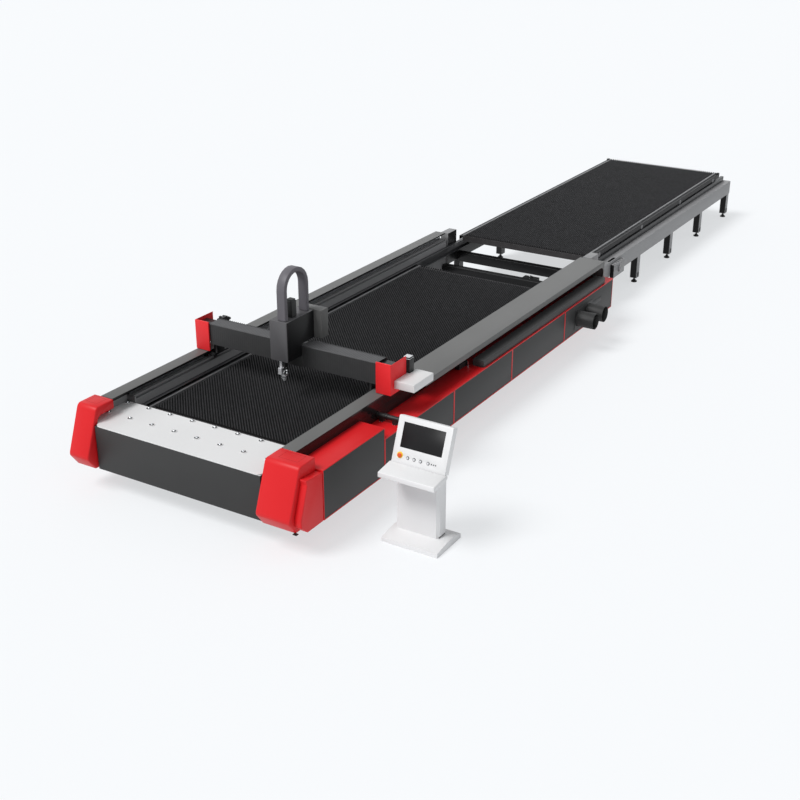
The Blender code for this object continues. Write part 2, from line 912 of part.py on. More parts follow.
def chain_tray():
    low = far_cabinet_height + fit_gap
    high = far_cabinet_height + tray_height
    outside = tray_inside + tray_width
    outline = ((tray_inside, low), (outside, low), (outside, high), (outside - tray_sheet, high),
               (outside - tray_sheet, low + tray_sheet), (tray_inside + tray_sheet, low + tray_sheet),
               (tray_inside + tray_sheet, high), (tray_inside, high))
    return prism("y", outline, tray_front, bed_back - tray_back_space)


def extraction_ducts():
    """Two outlet tubes on a flange plate, which is bolted over the last dark panel and ends in a strip."""
    start = cabinet_outside - recess_depth + panel_thickness + 2 * fit_gap
    flange_end = start + duct_flange_thickness
    reach = duct_radius + duct_flange_margin
    far = (bed_back - duct_back_space, far_cabinet_height - duct_drop)
    near = (far[0] - duct_pitch, far[1] - duct_step)
    flange = block((start, near[0] - reach, near[1] - reach), (flange_end, far[0] + reach, far[1] + reach))
    strip_low = far[1] + duct_strip_height / 2
    strip = block((start, far[0] + reach - overrun, strip_low),
                  (flange_end, far[0] + reach + duct_strip_length, strip_low + duct_strip_height))
    tubes = gathered([rod("x", place, duct_radius, start, start + duct_length, duct_side_count)
                      for place in (near, far)])
    bores = gathered([rod("x", place, duct_radius - duct_wall, start - overrun,
                          start + duct_length + overrun, duct_side_count) for place in (near, far)])
    return combined(flange, added=[tubes, strip], cut=[bores])


def make_covers(root, paint):
    left = prism("y", cover_section(left_cover_inside), block_back + fit_gap, bed_back)
    node("rail_cover_left", mirrored(left, "left"), root, paint["cover"])
    node("rail_cover_right", right_cover(), root, paint["cover"])
    node("chain_tray", chain_tray(), root, paint["black"])
    node("extraction_ducts", extraction_ducts(), root, paint["black"], smooth=True)


# Exchange frame.

def leg_places():
    pitch = (exchange_length - leg_first_margin - leg_last_margin) / (leg_count - 1)
    return [exchange_front + leg_first_margin + index * pitch for index in range(leg_count)]


def exchange_frame():
    """A box beam on five legs, with a post at its near end and a slot for the chain in its top."""
    beam = block((beam_inside, exchange_front, exchange_beam_low),
                 (exchange_beam_outside, exchange_back, exchange_beam_top))
    post = block((beam_inside, exchange_front, exchange_beam_top - overrun),
                 (exchange_beam_outside, exchange_front + end_post_length, bed_height + end_post_rise))
    inner = exchange_beam_outside - leg_width
    legs = []
    for along in leg_places():
        legs.append(block((inner, along - leg_depth / 2, leg_low),
                          (exchange_beam_outside, along + leg_depth / 2, exchange_beam_low + overrun)))
    feet = [foot((exchange_beam_outside - leg_width / 2, along), leg_low + overrun) for along in leg_places()]
    slot_outside = exchange_beam_outside - beam_slot_margin
    slot_front = exchange_front + beam_slot_start
    slot = block((slot_outside - beam_slot_width, slot_front, exchange_beam_top - beam_slot_depth),
                 (slot_outside, slot_front + beam_slot_length, exchange_beam_top + overrun))
    return combined(beam, added=[post, gathered(legs), gathered(feet)], cut=[slot])


def drive_unit():
    """The chain drive's gearbox on the beam's outer face, with bolt holes along its top and a round nose."""
    inner = exchange_beam_outside + fit_gap
    outer = inner + drive_width
    high = exchange_beam_top - drive_drop
    low = high - drive_height
    front = exchange_front + drive_start
    body = block((inner, front, low), (outer, front + drive_length, high))
    nose_place = (front + drive_length / 2, (low + high) / 2)
    nose = rod("x", nose_place, drive_nose_radius, outer - overrun, outer + drive_nose_length)
    pitch = (drive_length - 2 * drive_hole_margin) / (drive_hole_count - 1)
    holes = [rod("x", (front + drive_hole_margin + index * pitch, high - drive_hole_drop), drive_hole_radius,
                 outer - drive_hole_depth, outer + overrun) for index in range(drive_hole_count)]
    return combined(body, added=[nose], cut=[gathered(holes)])


def drive_shaft():
    half = beam_inside - fit_gap
    centre = (shaft_place, shaft_height)
    shaft = rod("x", centre, shaft_radius, -half, half)
    collars = []
    for sign in SIDES.values():
        ends = sorted((sign * half, sign * (half - bearing_width)))
        collars.append(rod("x", centre, bearing_radius, *ends))
        outer = table_half - sprocket_inset + sprocket_width
        sides = sorted((sign * (outer - sprocket_width), sign * outer))
        collars.append(prism("x", sprocket_outline(centre), *sides))
    return combined(shaft, added=[gathered(collars)])


def sprocket_outline(centre):
    """Teeth and gaps of a chain sprocket, as a wave on its pitch circle."""
    points = []
    steps = sprocket_tooth_count * 4
    for step in range(steps):
        angle = math.tau * step / steps
        on_tooth = step % 4 in (1, 2)
        radius = sprocket_radius if on_tooth else sprocket_radius - sprocket_tooth_depth
        points.append((centre[0] + radius * math.cos(angle), centre[1] + radius * math.sin(angle)))
    return points


def make_exchange(root, shaft_holder, paint):
    for side in SIDES:
        node("exchange_frame_" + side, mirrored(exchange_frame(), side), root, paint["grey"])
    cross_places = {"near": exchange_front + near_cross_start, "far": exchange_back - far_cross_margin}
    for end, place in cross_places.items():
        cross = cross_member(place, cross_width, cross_top - cross_height, cross_top)
        node("exchange_cross_" + end, cross, root, paint["black"])
    node("exchange_drive", drive_unit(), root, paint["grey"])
    node("drive_shaft", drive_shaft(), shaft_holder, paint["steel"])


# Shuttle tables.

def slat_outline(top):
    """A slat seen from the front: a straight foot and a row of flat-topped teeth."""
    half = table_half - rail_bar_width + slat_bite
    low = top - slat_drop
    base = top - tooth_height
    pitch = 2 * half / tooth_count
    points = [(-half, low), (half, low)]
    for index in range(tooth_count):
        right = half - index * pitch
        points += [(right, base), (right - pitch / 2, top)]
    points.append((-half, base))
    return points


def shuttle_table(front, top, track):
    """A frame of four bars with toothed slats across it and eight wheels on stub axles."""
    half = table_half
    low = top - table_depth
    bar_top = top - tooth_height
    back = front + table_length
    frame = block((-half, front, low), (half, back, bar_top))
    window = block((-half + rail_bar_width, front + rail_bar_width, low - overrun),
                   (half - rail_bar_width, back - rail_bar_width, top + overrun))
    span = table_length - 2 * rail_bar_width
    pitch = span / (slat_count + 1)
    slats = []
    for index in range(slat_count):
        place = front + rail_bar_width + (index + 1) * pitch
        slats.append(prism("y", slat_outline(top), place - slat_thickness / 2, place + slat_thickness / 2))
    wheel_height = track + fit_gap + wheel_radius
    inner = half + wheel_gap
    wheels = []
    for sign in SIDES.values():
        for share in wheel_shares:
            centre = (front + share * table_length, wheel_height)
            axle = sorted((sign * (half - overrun), sign * (inner + overrun)))
            tread = sorted((sign * inner, sign * (inner + wheel_width)))
            wheel = rod("x", centre, wheel_radius, *tread)
            wheels.append(combined(rod("x", centre, axle_radius, *axle), added=[wheel]))
    hollow = combined(frame, cut=[window])
    return combined(hollow, added=[gathered(slats), gathered(wheels)])


def make_tables(low_holder, high_holder, paint):
    node("lower_table", shuttle_table(table_front, low_table_height, low_track), low_holder, paint["slat"])
    high_front = table_front + exchange_travel
    node("upper_table", shuttle_table(high_front, high_table_height, high_track), high_holder, paint["slat"])


# Gantry.

def x_rail_heights():
    return [gantry_low + share * gantry_height for share in x_rail_shares]


def gantry_beam():
    left = -left_cap_outside + cap_sheet + fit_gap
    right = right_cap_outside - cap_sheet - fit_gap
    beam = block((left, gantry_front, gantry_low), (right, gantry_back, gantry_top))
    rails = []
    for low in x_rail_heights():
        rails.append(block((-left_cap_inside + x_rail_end, gantry_front - x_rail_depth, low),
                           (right_cap_inside - x_rail_end, gantry_front + overrun, low + x_rail_height)))
    return combined(beam, added=[gathered(rails)])


def cap(inside, outside):
    """A folded end cover: front face, outer cheek, a return on the inner edge and a lip along the top."""
    high = cap_low + cap_height
    back = cap_front + cap_depth
    outline = ((inside, cap_front), (outside, cap_front), (outside, back), (outside - cap_sheet, back),
               (outside - cap_sheet, cap_front + cap_sheet), (inside + cap_sheet, cap_front + cap_sheet),
               (inside + cap_sheet, cap_front + cap_return), (inside, cap_front + cap_return))
    wall = prism("z", outline, cap_low, high)
    lip = block((inside, cap_front, high - cap_sheet), (outside, cap_front + cap_return, high))
    return combined(wall, added=[lip])


def bellows(start, end):
    """A pleated cover over the front, top and back of the beam, open below, as one folded wall."""
    count = max(2, round((end - start) / bellows_pitch))
    shape = bmesh.new()
    rings = []
    for step in range(2 * count + 1):
        along = start + (end - start) * step / (2 * count)
        inset = bellows_fold * (step % 2)
        ring = []
        for wall in (0, bellows_wall):
            front = bellows_front + inset + wall
            back = bellows_back - inset - wall
            high = bellows_top - inset - wall
            corner = bellows_corner
            arch = [(front, bellows_low), (front, high - corner), (front + corner, high),
                    (back - corner, high), (back, high - corner), (back, bellows_low)]
            ring += arch if wall == 0 else arch[::-1]
        rings.append([shape.verts.new(point_on("x", along, pair)) for pair in ring])
    size = len(rings[0])
    for near, far in zip(rings, rings[1:]):
        for index in range(size):
            after = (index + 1) % size
            shape.faces.new((near[index], near[after], far[after], far[index]))
    shape.faces.new(rings[0])
    shape.faces.new(rings[-1])
    return as_mesh(shape)


def gantry_arm():
    """The saddle on the rail's two blocks, and the riser that carries the beam's end."""
    half = bearing_block_width / 2
    blocks = []
    for front in (arm_front, arm_front + arm_length - bearing_block_length):
        blocks.append(block((rail_centre - half, front, bearing_block_low),
                            (rail_centre + half, front + bearing_block_length, bearing_block_top + overrun)))
    top = bearing_block_top + arm_thickness
    plate = block((riser_inside, arm_front, bearing_block_top),
                  (rail_centre + half, arm_front + arm_length, top))
    riser = block((riser_inside, gantry_front, bearing_block_top),
                  (riser_inside + riser_width, gantry_back, gantry_low - fit_gap))
    groove = block((rail_centre - rail_width / 2 - fit_gap, arm_front - overrun, bearing_block_low - overrun),
                   (rail_centre + rail_width / 2 + fit_gap, arm_front + arm_length + overrun,
                    bed_height + rail_height + fit_gap))
    return combined(plate, added=[gathered(blocks), riser], cut=[groove])


def pinion_centre():
    return (rack_inside - fit_gap - pinion_radius, gantry_front + gantry_depth / 2)


def pinion():
    gear = rod("z", pinion_centre(), pinion_radius, pinion_low, pinion_low + pinion_height)
    shaft = rod("z", pinion_centre(), pinion_shaft_radius, pinion_low, bearing_block_top - fit_gap)
    return combined(gear, added=[shaft])


def motor(low, high, plate_low, plate_high):
    """A square servo motor with a stepped cap, on a flange plate that reaches the beam's back."""
    inset = motor_cap_inset
    body = block(low, (high[0], high[1], high[2] - motor_cap))
    top = block((low[0] + inset, low[1] + inset, high[2] - motor_cap - overrun),
                (high[0] - inset, high[1] - inset, high[2]))
    plate = block(plate_low, plate_high)
    return combined(body, added=[top, plate])


def make_gantry(gantry, pinion_holders, paint):
    back = gantry_back + fit_gap
    node("gantry_beam", gantry_beam(), gantry, paint["grey"])
    node("gantry_cap_left", mirrored(cap(left_cap_inside, left_cap_outside), "left"), gantry, paint["red"])
    node("gantry_cap_right", cap(right_cap_inside, right_cap_outside), gantry, paint["red"])
    for side in SIDES:
        node("gantry_arm_" + side, mirrored(gantry_arm(), side), gantry, paint["grey"])
        node("pinion_" + side, mirrored(pinion(), side), pinion_holders[side], paint["steel"])
    left = motor((left_motor_inside, left_motor_front, left_motor_low),
                 (left_motor_inside + left_motor_width, left_motor_front + left_motor_depth, left_motor_top),
                 (left_cap_inside + fit_gap, back, left_motor_low),
                 (left_motor_inside + left_motor_width, left_motor_front + overrun,
                  left_motor_low + motor_flange))
    node("gantry_motor_left", mirrored(left, "left"), gantry, paint["black"])
    right = motor((right_motor_inside, right_motor_front, right_motor_low),
                  (right_motor_inside + right_motor_width, right_motor_front + right_motor_depth,
                   right_motor_top),
                  (right_motor_inside, back, right_motor_low),
                  (right_cap_outside - cap_sheet - fit_gap, right_motor_front + overrun,
                   right_motor_low + motor_flange))
    node("gantry_motor_right", right, gantry, paint["black"])
    notch_side = right_motor_inside + right_motor_width + fit_gap
    notch_front = right_motor_front - fit_gap
    inner = right_cap_outside + fit_gap
    outline = ((inner, junction_front), (junction_outside, junction_front), (junction_outside, junction_back),
               (notch_side, junction_back), (notch_side, notch_front), (inner, notch_front))
    node("junction_box", prism("z", outline, junction_low, junction_top), gantry, paint["white"])
    left_bellows = bellows(-left_cap_inside + fit_gap, carriage_left - fit_gap)
    node("bellows_left", left_bellows, gantry, paint["bellows"])
    right_bellows = bellows(carriage_right + fit_gap, right_cap_inside - fit_gap)
    node("bellows_right", right_bellows, gantry, paint["bellows"])


# Cutting head carriage.

def saddle():
    """The carriage plate behind the housing, with blocks that grip the beam's two rails."""
    back = saddle_front + saddle_thickness
    plate = block((carriage_left, saddle_front, saddle_low), (carriage_right, back, housing_shelf - fit_gap))
    grips = []
    grooves = []
    margin = x_rail_height
    for low in x_rail_heights():
        grips.append(block((carriage_left, back - overrun, low - margin / 2),
                           (carriage_right, gantry_front - fit_gap, low + x_rail_height + margin / 2)))
        grooves.append(block((carriage_left - overrun, gantry_front - x_rail_depth - fit_gap, low - fit_gap),
                             (carriage_right + overrun, gantry_front + overrun,
                              low + x_rail_height + fit_gap)))
    return combined(plate, added=[gathered(grips)], cut=[gathered(grooves)])


def head_housing():
    """The block over the beam and in front of it, with a well for the cutting head's slide."""
    front = housing_front + front_cover_thickness + fit_gap
    step = saddle_front - fit_gap
    outline = ((front, housing_low), (step, housing_low), (step, housing_shelf),
               (housing_back, housing_shelf), (housing_back, housing_top), (front, housing_top))
    body = prism("x", outline, carriage_left, carriage_right)
    half_width = slide_width / 2 + slide_clear
    half_depth = slide_depth / 2 + slide_clear
    well = block((head_across - half_width, head_along - half_depth, housing_low - overrun),
                 (head_across + half_width, head_along + half_depth, slide_top + head_lift + overrun))
    return combined(body, cut=[well])


def front_cover():
    back = housing_front + front_cover_thickness
    outline = ((carriage_left, housing_front), (front_cover_right - front_cover_bevel, housing_front),
               (front_cover_right, housing_front + front_cover_thickness / 2), (front_cover_right, back),
               (carriage_left, back))
    return prism("z", outline, housing_low, housing_top)


def arch():
    """The hose arch: an inverted U of one width whose top is a half circle."""
    radius = (arch_back - arch_front) / 2
    middle = (arch_front + radius, arch_top - radius)
    foot_height = housing_top + fit_gap
    outer = arc(middle, radius, 0, 180, arch_step_count)
    inner = arc(middle, radius - arch_band, 180, 0, arch_step_count)
    outline = [(arch_back, foot_height)] + outer + [(arch_front, foot_height)]
    outline += [(arch_front + arch_band, foot_height)] + inner + [(arch_back - arch_band, foot_height)]
    return prism("x", outline, arch_left, arch_left + arch_width)


def cutting_head():
    half_width = slide_width / 2
    half_depth = slide_depth / 2
    slide = block((head_across - half_width, head_along - half_depth, slide_low),
                  (head_across + half_width, head_along + half_depth, slide_top))
    profile = [(head_radius, slide_low + overrun)]
    for across, up in head_profile_shares[1:]:
        profile.append((head_radius * across, nozzle_tip + (slide_low - nozzle_tip) * up))
    return combined(slide, added=[turned((head_across, head_along), profile, head_side_count)])


def make_carriage(carriage, head, paint):
    node("carriage_saddle", saddle(), carriage, paint["dark"])
    node("head_housing", head_housing(), carriage, paint["dark"])
    node("head_front_cover", front_cover(), carriage, paint["cover"])
    rear = block((carriage_left, housing_back + fit_gap, housing_shelf),
                 (rear_cover_right, rear_cover_back, rear_cover_top))
    node("head_rear_cover", rear, carriage, paint["dark"])
    node("hose_arch", arch(), carriage, paint["dark"], smooth=True)
    z_low = housing_top + fit_gap
    z_back = z_motor_front + z_motor_width
    inset = motor_cap_inset
    z_body = block((z_motor_left, z_motor_front, z_low),
                   (z_motor_left + z_motor_width, z_back, z_motor_top - motor_cap))
    z_cap = block((z_motor_left + inset, z_motor_front + inset, z_motor_top - motor_cap - overrun),
                  (z_motor_left + z_motor_width - inset, z_back - inset, z_motor_top))
    node("z_motor", combined(z_body, added=[z_cap]), carriage, paint["black"])
    node("cutting_head", cutting_head(), head, paint["steel"], smooth=True)


# Console stand.

slab_rise = Vector((0, face_lean, face_rise))
slab_height = slab_rise.length
slab_up = slab_rise.normalized()
slab_out = Vector((0, -slab_up.z, slab_up.y))


def slab_pair(depth, up):
    """The (y, z) of a point so deep behind the sloping face and so far up it from its lower edge."""
    point = Vector((0, face_front, face_low)) + slab_up * up - slab_out * depth
    return (point.y, point.z)


def face_place(across_share, down_share):
    across = screen_left + (screen_right - screen_left) * across_share
    pair = slab_pair(0, slab_height * (1 - down_share))
    return Vector((across, *pair))


def on_face(mesh, place):
    """Stands a shape that was modelled about Z, with the face at z 0, on the console's sloping face."""
    tilt = Vector((0, 0, 1)).rotation_difference(slab_out).to_matrix().to_4x4()
    return moved(mesh, Matrix.Translation(place) @ tilt)


def console_stand():
    """The floor plinth with its sloped top, and the column up to the slab's underside and back."""
    plinth_outline = ((console_front, 0), (console_back, 0), (console_back, plinth_height),
                      (column_back, plinth_crown), (column_front, plinth_crown),
                      (console_front, plinth_height))
    plinth = prism("x", plinth_outline, console_left, console_right)
    low_corner = slab_pair(slab_thickness + fit_gap, -fit_gap)
    face_corner = slab_pair(0, -fit_gap)
    back_corner = slab_pair(slab_thickness + fit_gap, slab_height)
    climb = (back_corner[1] - low_corner[1]) / (back_corner[0] - low_corner[0])
    under = (face_corner[1] - low_corner[1]) / (face_corner[0] - low_corner[0])
    back_height = low_corner[1] + climb * (column_back - low_corner[0])
    front_height = low_corner[1] + under * (column_front - low_corner[0])
    side = prism("x", ((column_front, plinth_crown - overrun), (column_back, plinth_crown - overrun),
                       (column_back, back_height), low_corner, (column_front, front_height)),
                 column_left, column_right)
    chamfer_outline = ((column_right - column_chamfer, column_front - overrun),
                       (column_right + overrun, column_front - overrun),
                       (column_right + overrun, column_front + column_chamfer),
                       (column_right, column_front + column_chamfer),
                       (column_right - column_chamfer, column_front))
    chamfer = prism("z", chamfer_outline, plinth_crown + fit_gap, face_low + face_rise)
    return combined(plinth, added=[combined(side, cut=[chamfer])])


def console_head():
    """The sloping slab with a recess for the screen and a well for each button."""
    outline = (slab_pair(0, 0), slab_pair(0, slab_height), slab_pair(slab_thickness, slab_height),
               slab_pair(slab_thickness, 0))
    slab = prism("x", outline, screen_left, screen_right)
    cuts = [screen_block(0, screen_depth, overrun)]
    button_depth = button_travel + well_margin + button_height
    for share in button_across_shares:
        well = rod("z", (0, 0), button_radius + fit_gap, -button_depth, overrun)
        cuts.append(on_face(well, face_place(share, button_down_share)))
    stop_depth = stop_travel + well_margin + stop_cap_height
    stop_well = rod("z", (0, 0), stop_stem_radius + fit_gap, -stop_depth, overrun)
    cuts.append(on_face(stop_well, face_place(stop_across_share, stop_down_share)))
    return combined(slab, cut=[gathered(cuts)])


def screen_block(inset, depth, proud):
    """A plate in the screen's outline less an inset, from a depth below the face to a height above it."""
    width = screen_right - screen_left
    left = screen_left + width * screen_across_shares[0] + inset
    right = screen_left + width * screen_across_shares[1] - inset
    high = slab_height * (1 - screen_down_shares[0]) - inset
    low = slab_height * (1 - screen_down_shares[1]) + inset
    outline = (slab_pair(depth, low), slab_pair(-proud, low), slab_pair(-proud, high), slab_pair(depth, high))
    return prism("x", outline, left, right)


def screen_glass():
    return screen_block(fit_gap, screen_depth - fit_gap, glass_thickness - screen_depth)


def console_shelf():
    face_corner = slab_pair(0, -fit_gap)
    low_corner = slab_pair(slab_thickness, -fit_gap)
    rear = column_front - fit_gap
    under = (face_corner[1] - low_corner[1]) / (face_corner[0] - low_corner[0])
    rear_height = low_corner[1] + under * (rear - low_corner[0])
    slope = (face_corner[1] - shelf_front_height) / (face_corner[0] - shelf_front)
    rear_low = shelf_front_height + slope * (rear - shelf_front) - shelf_thickness
    outline = ((shelf_front, shelf_front_height - shelf_thickness), (rear, rear_low), (rear, rear_height),
               face_corner, (shelf_front, shelf_front_height))
    return prism("x", outline, console_left, shelf_right)


def push_button():
    return rod("z", (0, 0), button_radius, -button_height, button_height)


def stop_button():
    """A mushroom button on a stem."""
    gap = stop_travel + well_margin / 2
    profile = ((stop_stem_radius, -stop_cap_height), (stop_stem_radius, gap), (stop_radius, gap),
               (stop_radius, gap + stop_cap_height / 2), (stop_stem_radius, gap + stop_cap_height))
    return turned((0, 0), profile, round_side_count)


def make_console(root, paint):
    node("console_stand", console_stand(), root, paint["white"])
    node("console_head", console_head(), root, paint["white"])
    node("console_screen", screen_glass(), root, paint["dark"])
    node("console_shelf", console_shelf(), root, paint["white"])
    for number, share in enumerate(button_across_shares, 1):
        place = face_place(share, button_down_share)
        holder = empty("button_" + str(number) + "_axis", place, root)
        node("button_" + str(number), on_face(push_button(), place), holder, paint["steel"])
    place = face_place(stop_across_share, stop_down_share)
    holder = empty("emergency_stop_axis", place, root)
    node("emergency_stop", on_face(stop_button(), place), holder, paint["red"], smooth=True)


def main():
    clear_scene()
    paint = {
        "red": finish("red_powder_coat", (0.69, 0.03, 0.04), 0.40),
        "dark": finish("dark_grey_powder_coat", (0.058, 0.058, 0.06), 0.50),
        "cover": finish("mid_grey_powder_coat", (0.20, 0.20, 0.205), 0.50),
        "grey": finish("light_grey_powder_coat", (0.26, 0.26, 0.27), 0.50),
        "white": finish("white_powder_coat", (0.80, 0.80, 0.80), 0.40),
        "black": finish("black_powder_coat", (0.012, 0.012, 0.013), 0.45),
        "steel": finish("ground_steel", (0.55, 0.55, 0.56), 0.30, 1.0),
        "slat": finish("mild_steel_slats", (0.03, 0.03, 0.031), 0.60, 0.5),
        "bellows": finish("bellows_fabric", (0.03, 0.03, 0.032), 0.80),
    }
    root = empty("machine", (0, 0, 0))
    gantry = empty("gantry_axis", (0, gantry_front, gantry_low), root)
    carriage = empty("carriage_axis", (carriage_left, saddle_front, gantry_low), gantry)
    head = empty("cutting_head_axis", (head_across, head_along, slide_low), carriage)
    low_table = empty("lower_table_axis", (0, table_front, low_track), root)
    high_table = empty("upper_table_axis", (0, table_front + exchange_travel, high_track), root)
    shaft = empty("drive_shaft_axis", (0, shaft_place, shaft_height), root)
    pinion_holders = {}
    for side, sign in SIDES.items():
        across, along = pinion_centre()
        pinion_holders[side] = empty("pinion_axis_" + side, (sign * across, along, pinion_low), gantry)
    make_bed(root, paint)
    make_front(root, paint)
    make_cabinets(root, paint)
    make_covers(root, paint)
    make_exchange(root, shaft, paint)
    make_tables(low_table, high_table, paint)
    make_gantry(gantry, pinion_holders, paint)
    make_carriage(carriage, head, paint)
    make_console(root, paint)


main()
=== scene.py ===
"""The looks of the fibre laser cutting machine: its paints, sheet edges, slats, bellows and small parts.

Places are written in machine metres: x from the centreline, y from the front panel, z from the floor.
"""

import json
import math

import bmesh
import bpy
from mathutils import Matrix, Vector

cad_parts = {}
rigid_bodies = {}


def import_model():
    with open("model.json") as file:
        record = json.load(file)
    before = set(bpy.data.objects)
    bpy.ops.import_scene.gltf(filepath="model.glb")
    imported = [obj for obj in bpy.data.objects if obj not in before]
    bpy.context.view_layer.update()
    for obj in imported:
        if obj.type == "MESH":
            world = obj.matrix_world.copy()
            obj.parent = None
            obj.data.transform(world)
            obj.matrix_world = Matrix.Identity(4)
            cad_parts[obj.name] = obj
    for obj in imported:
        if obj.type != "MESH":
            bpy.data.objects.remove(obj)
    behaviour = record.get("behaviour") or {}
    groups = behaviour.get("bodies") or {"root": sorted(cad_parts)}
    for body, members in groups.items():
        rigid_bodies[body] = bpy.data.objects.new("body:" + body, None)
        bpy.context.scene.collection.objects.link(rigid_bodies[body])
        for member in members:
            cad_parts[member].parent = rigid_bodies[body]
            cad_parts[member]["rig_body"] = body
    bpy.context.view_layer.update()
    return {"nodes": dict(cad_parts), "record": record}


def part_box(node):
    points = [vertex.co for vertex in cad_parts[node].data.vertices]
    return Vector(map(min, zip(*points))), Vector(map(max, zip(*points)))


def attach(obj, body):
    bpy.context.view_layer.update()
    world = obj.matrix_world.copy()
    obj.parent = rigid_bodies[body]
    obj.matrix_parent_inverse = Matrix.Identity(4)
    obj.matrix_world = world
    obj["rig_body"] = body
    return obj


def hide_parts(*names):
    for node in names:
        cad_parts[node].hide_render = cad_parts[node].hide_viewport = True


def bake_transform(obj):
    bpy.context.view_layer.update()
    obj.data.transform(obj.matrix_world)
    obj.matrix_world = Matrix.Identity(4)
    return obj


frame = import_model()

PANEL_LOW, PANEL_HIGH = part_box("front_panel")
MACHINE = Vector(((PANEL_LOW.x + PANEL_HIGH.x) / 2, PANEL_LOW.y, 0))
AXES = {"x": 0, "y": 1, "z": 2}


def machine_box(node):
    """A node's lowest and highest corners in machine metres."""
    low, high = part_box(node)
    return low - MACHINE, high - MACHINE


# Materials.

# How high the teeth's tips stand on each table, and how far down their pale part reaches.
LOWER_TIP_HEIGHT = 0.749
UPPER_TIP_HEIGHT = 0.876
WORN_HEIGHT = 0.026

# The scale at which a wave texture's ribs are about a metre apart.
WAVE_PERIOD = 0.32


def linear(hex_colour):
    """An sRGB hex colour as the linear values that a shader takes."""
    channels = [int(hex_colour[place:place + 2], 16) / 255 for place in (0, 2, 4)]
    return tuple(c / 12.92 if c <= 0.04045 else ((c + 0.055) / 1.055) ** 2.4 for c in channels) + (1.0,)


def add(tree, kind, settings=None, **links):
    """Adds one node with its settings, and links each named input from the socket that is given."""
    new = tree.nodes.new(kind)
    for name, value in (settings or {}).items():
        if isinstance(name, str) and hasattr(new, name):
            setattr(new, name, value)
        else:
            new.inputs[name].default_value = value
    for name, source in links.items():
        tree.links.new(source, new.inputs[int(name[1:]) if name[0] == "_" else name.replace("_", " ")])
    return new


def base_material(name, roughness, metallic=0.0, **extra):
    material = bpy.data.materials.new(name)
    material.use_nodes = True
    tree = material.node_tree
    shader = tree.nodes["Principled BSDF"]
    shader.inputs["Roughness"].default_value = roughness
    shader.inputs["Metallic"].default_value = metallic
    for socket, value in extra.items():
        shader.inputs[socket.replace("_", " ")].default_value = value
    place = add(tree, "ShaderNodeTexCoord").outputs["Object"]
    return material, tree, shader, place


def tinted(tree, shader, place, colour, other, grain_mm, contrast=0.5):
    """Colour that drifts between two close tones, with patches of the given size."""
    noise = add(tree, "ShaderNodeTexNoise", {"Scale": 1000 / grain_mm, "Detail": 4.0}, Vector=place)
    ramp = add(tree, "ShaderNodeValToRGB", _0=noise.outputs[0])
    ramp.color_ramp.elements[0].position = 0.5 - contrast / 2
    ramp.color_ramp.elements[1].position = 0.5 + contrast / 2
    ramp.color_ramp.elements[0].color = linear(colour)
    ramp.color_ramp.elements[1].color = linear(other)
    tree.links.new(ramp.outputs[0], shader.inputs["Base Color"])


def dimpled(tree, shader, place, grain_mm, depth_mm, strength=0.3):
    """A fine unevenness of the surface, with grains of the given size."""
    noise = add(tree, "ShaderNodeTexNoise", {"Scale": 1000 / grain_mm, "Detail": 2.0}, Vector=place)
    settings = {"Strength": strength, "Distance": depth_mm / 1000}
    bump = add(tree, "ShaderNodeBump", settings, Height=noise.outputs[0])
    tree.links.new(bump.outputs[0], shader.inputs["Normal"])


def powder_coat(name, colour, other, roughness):
    """Sprayed and baked powder on sheet steel: an even satin colour with a fine orange peel.

    The real peel is about 2 mm across, and it is drawn at 6 mm so that it shows."""
    material, tree, shader, place = base_material(name, roughness, Specular_IOR_Level=0.25)
    tinted(tree, shader, place, colour, other, 900)
    dimpled(tree, shader, place, 6, 0.12, 0.25)
    return material


def ground_steel():
    """Steel ground along its length: bright, with fine lines.

    The real lines are about 0.1 mm apart. They are drawn 1.5 mm apart, and long, so that they show."""
    material, tree, shader, place = base_material("steel_ground", 0.28, 1.0)
    tinted(tree, shader, place, "B4B6B8", "8E9093", 40)
    stretched = add(tree, "ShaderNodeMapping", {"Scale": (1, 0.03, 1)}, Vector=place)
    dimpled(tree, shader, stretched.outputs[0], 1.5, 0.05, 0.3)
    return material


def chromed_steel():
    """Polished and plated steel, as on bearing balls: a clean mirror with a trace of haze."""
    material, tree, shader, place = base_material("chrome_steel_polished", 0.12, 1.0)
    tinted(tree, shader, place, "D8DADC", "C4C6C9", 20)
    return material


def slat_steel(name, tip_height):
    """Hot rolled sheet, laser cut into slats: a blue-black skin, with tips left pale by heat and use.

    The pale part fades out over the height of a tooth, down from the tip's height, in patches of 60 mm.
    The skin's real grain is under 1 mm, and it is drawn at 4 mm so that it shows."""
    material, tree, shader, place = base_material(name, 0.5, 0.3)
    height = add(tree, "ShaderNodeSeparateXYZ", _0=place).outputs[2]
    fade = {"From Min": tip_height - WORN_HEIGHT, "From Max": tip_height}
    worn = add(tree, "ShaderNodeMapRange", fade, Value=height)
    patches = add(tree, "ShaderNodeTexNoise", {"Scale": 1000 / 60, "Detail": 3.0}, Vector=place)
    spread = {"operation": "MULTIPLY_ADD", 1: 0.5, 2: -0.25}
    uneven = add(tree, "ShaderNodeMath", spread, _0=patches.outputs[0])
    total = {"operation": "ADD", "use_clamp": True}
    share = add(tree, "ShaderNodeMath", total, _0=worn.outputs[0], _1=uneven.outputs[0])
    ramp = add(tree, "ShaderNodeValToRGB", _0=share.outputs[0])
    ramp.color_ramp.elements[0].color = linear("1B1B1C")
    ramp.color_ramp.elements[1].color = linear("5E5E60")
    tree.links.new(ramp.outputs[0], shader.inputs["Base Color"])
    dimpled(tree, shader, place, 4, 0.2, 0.4)
    return material


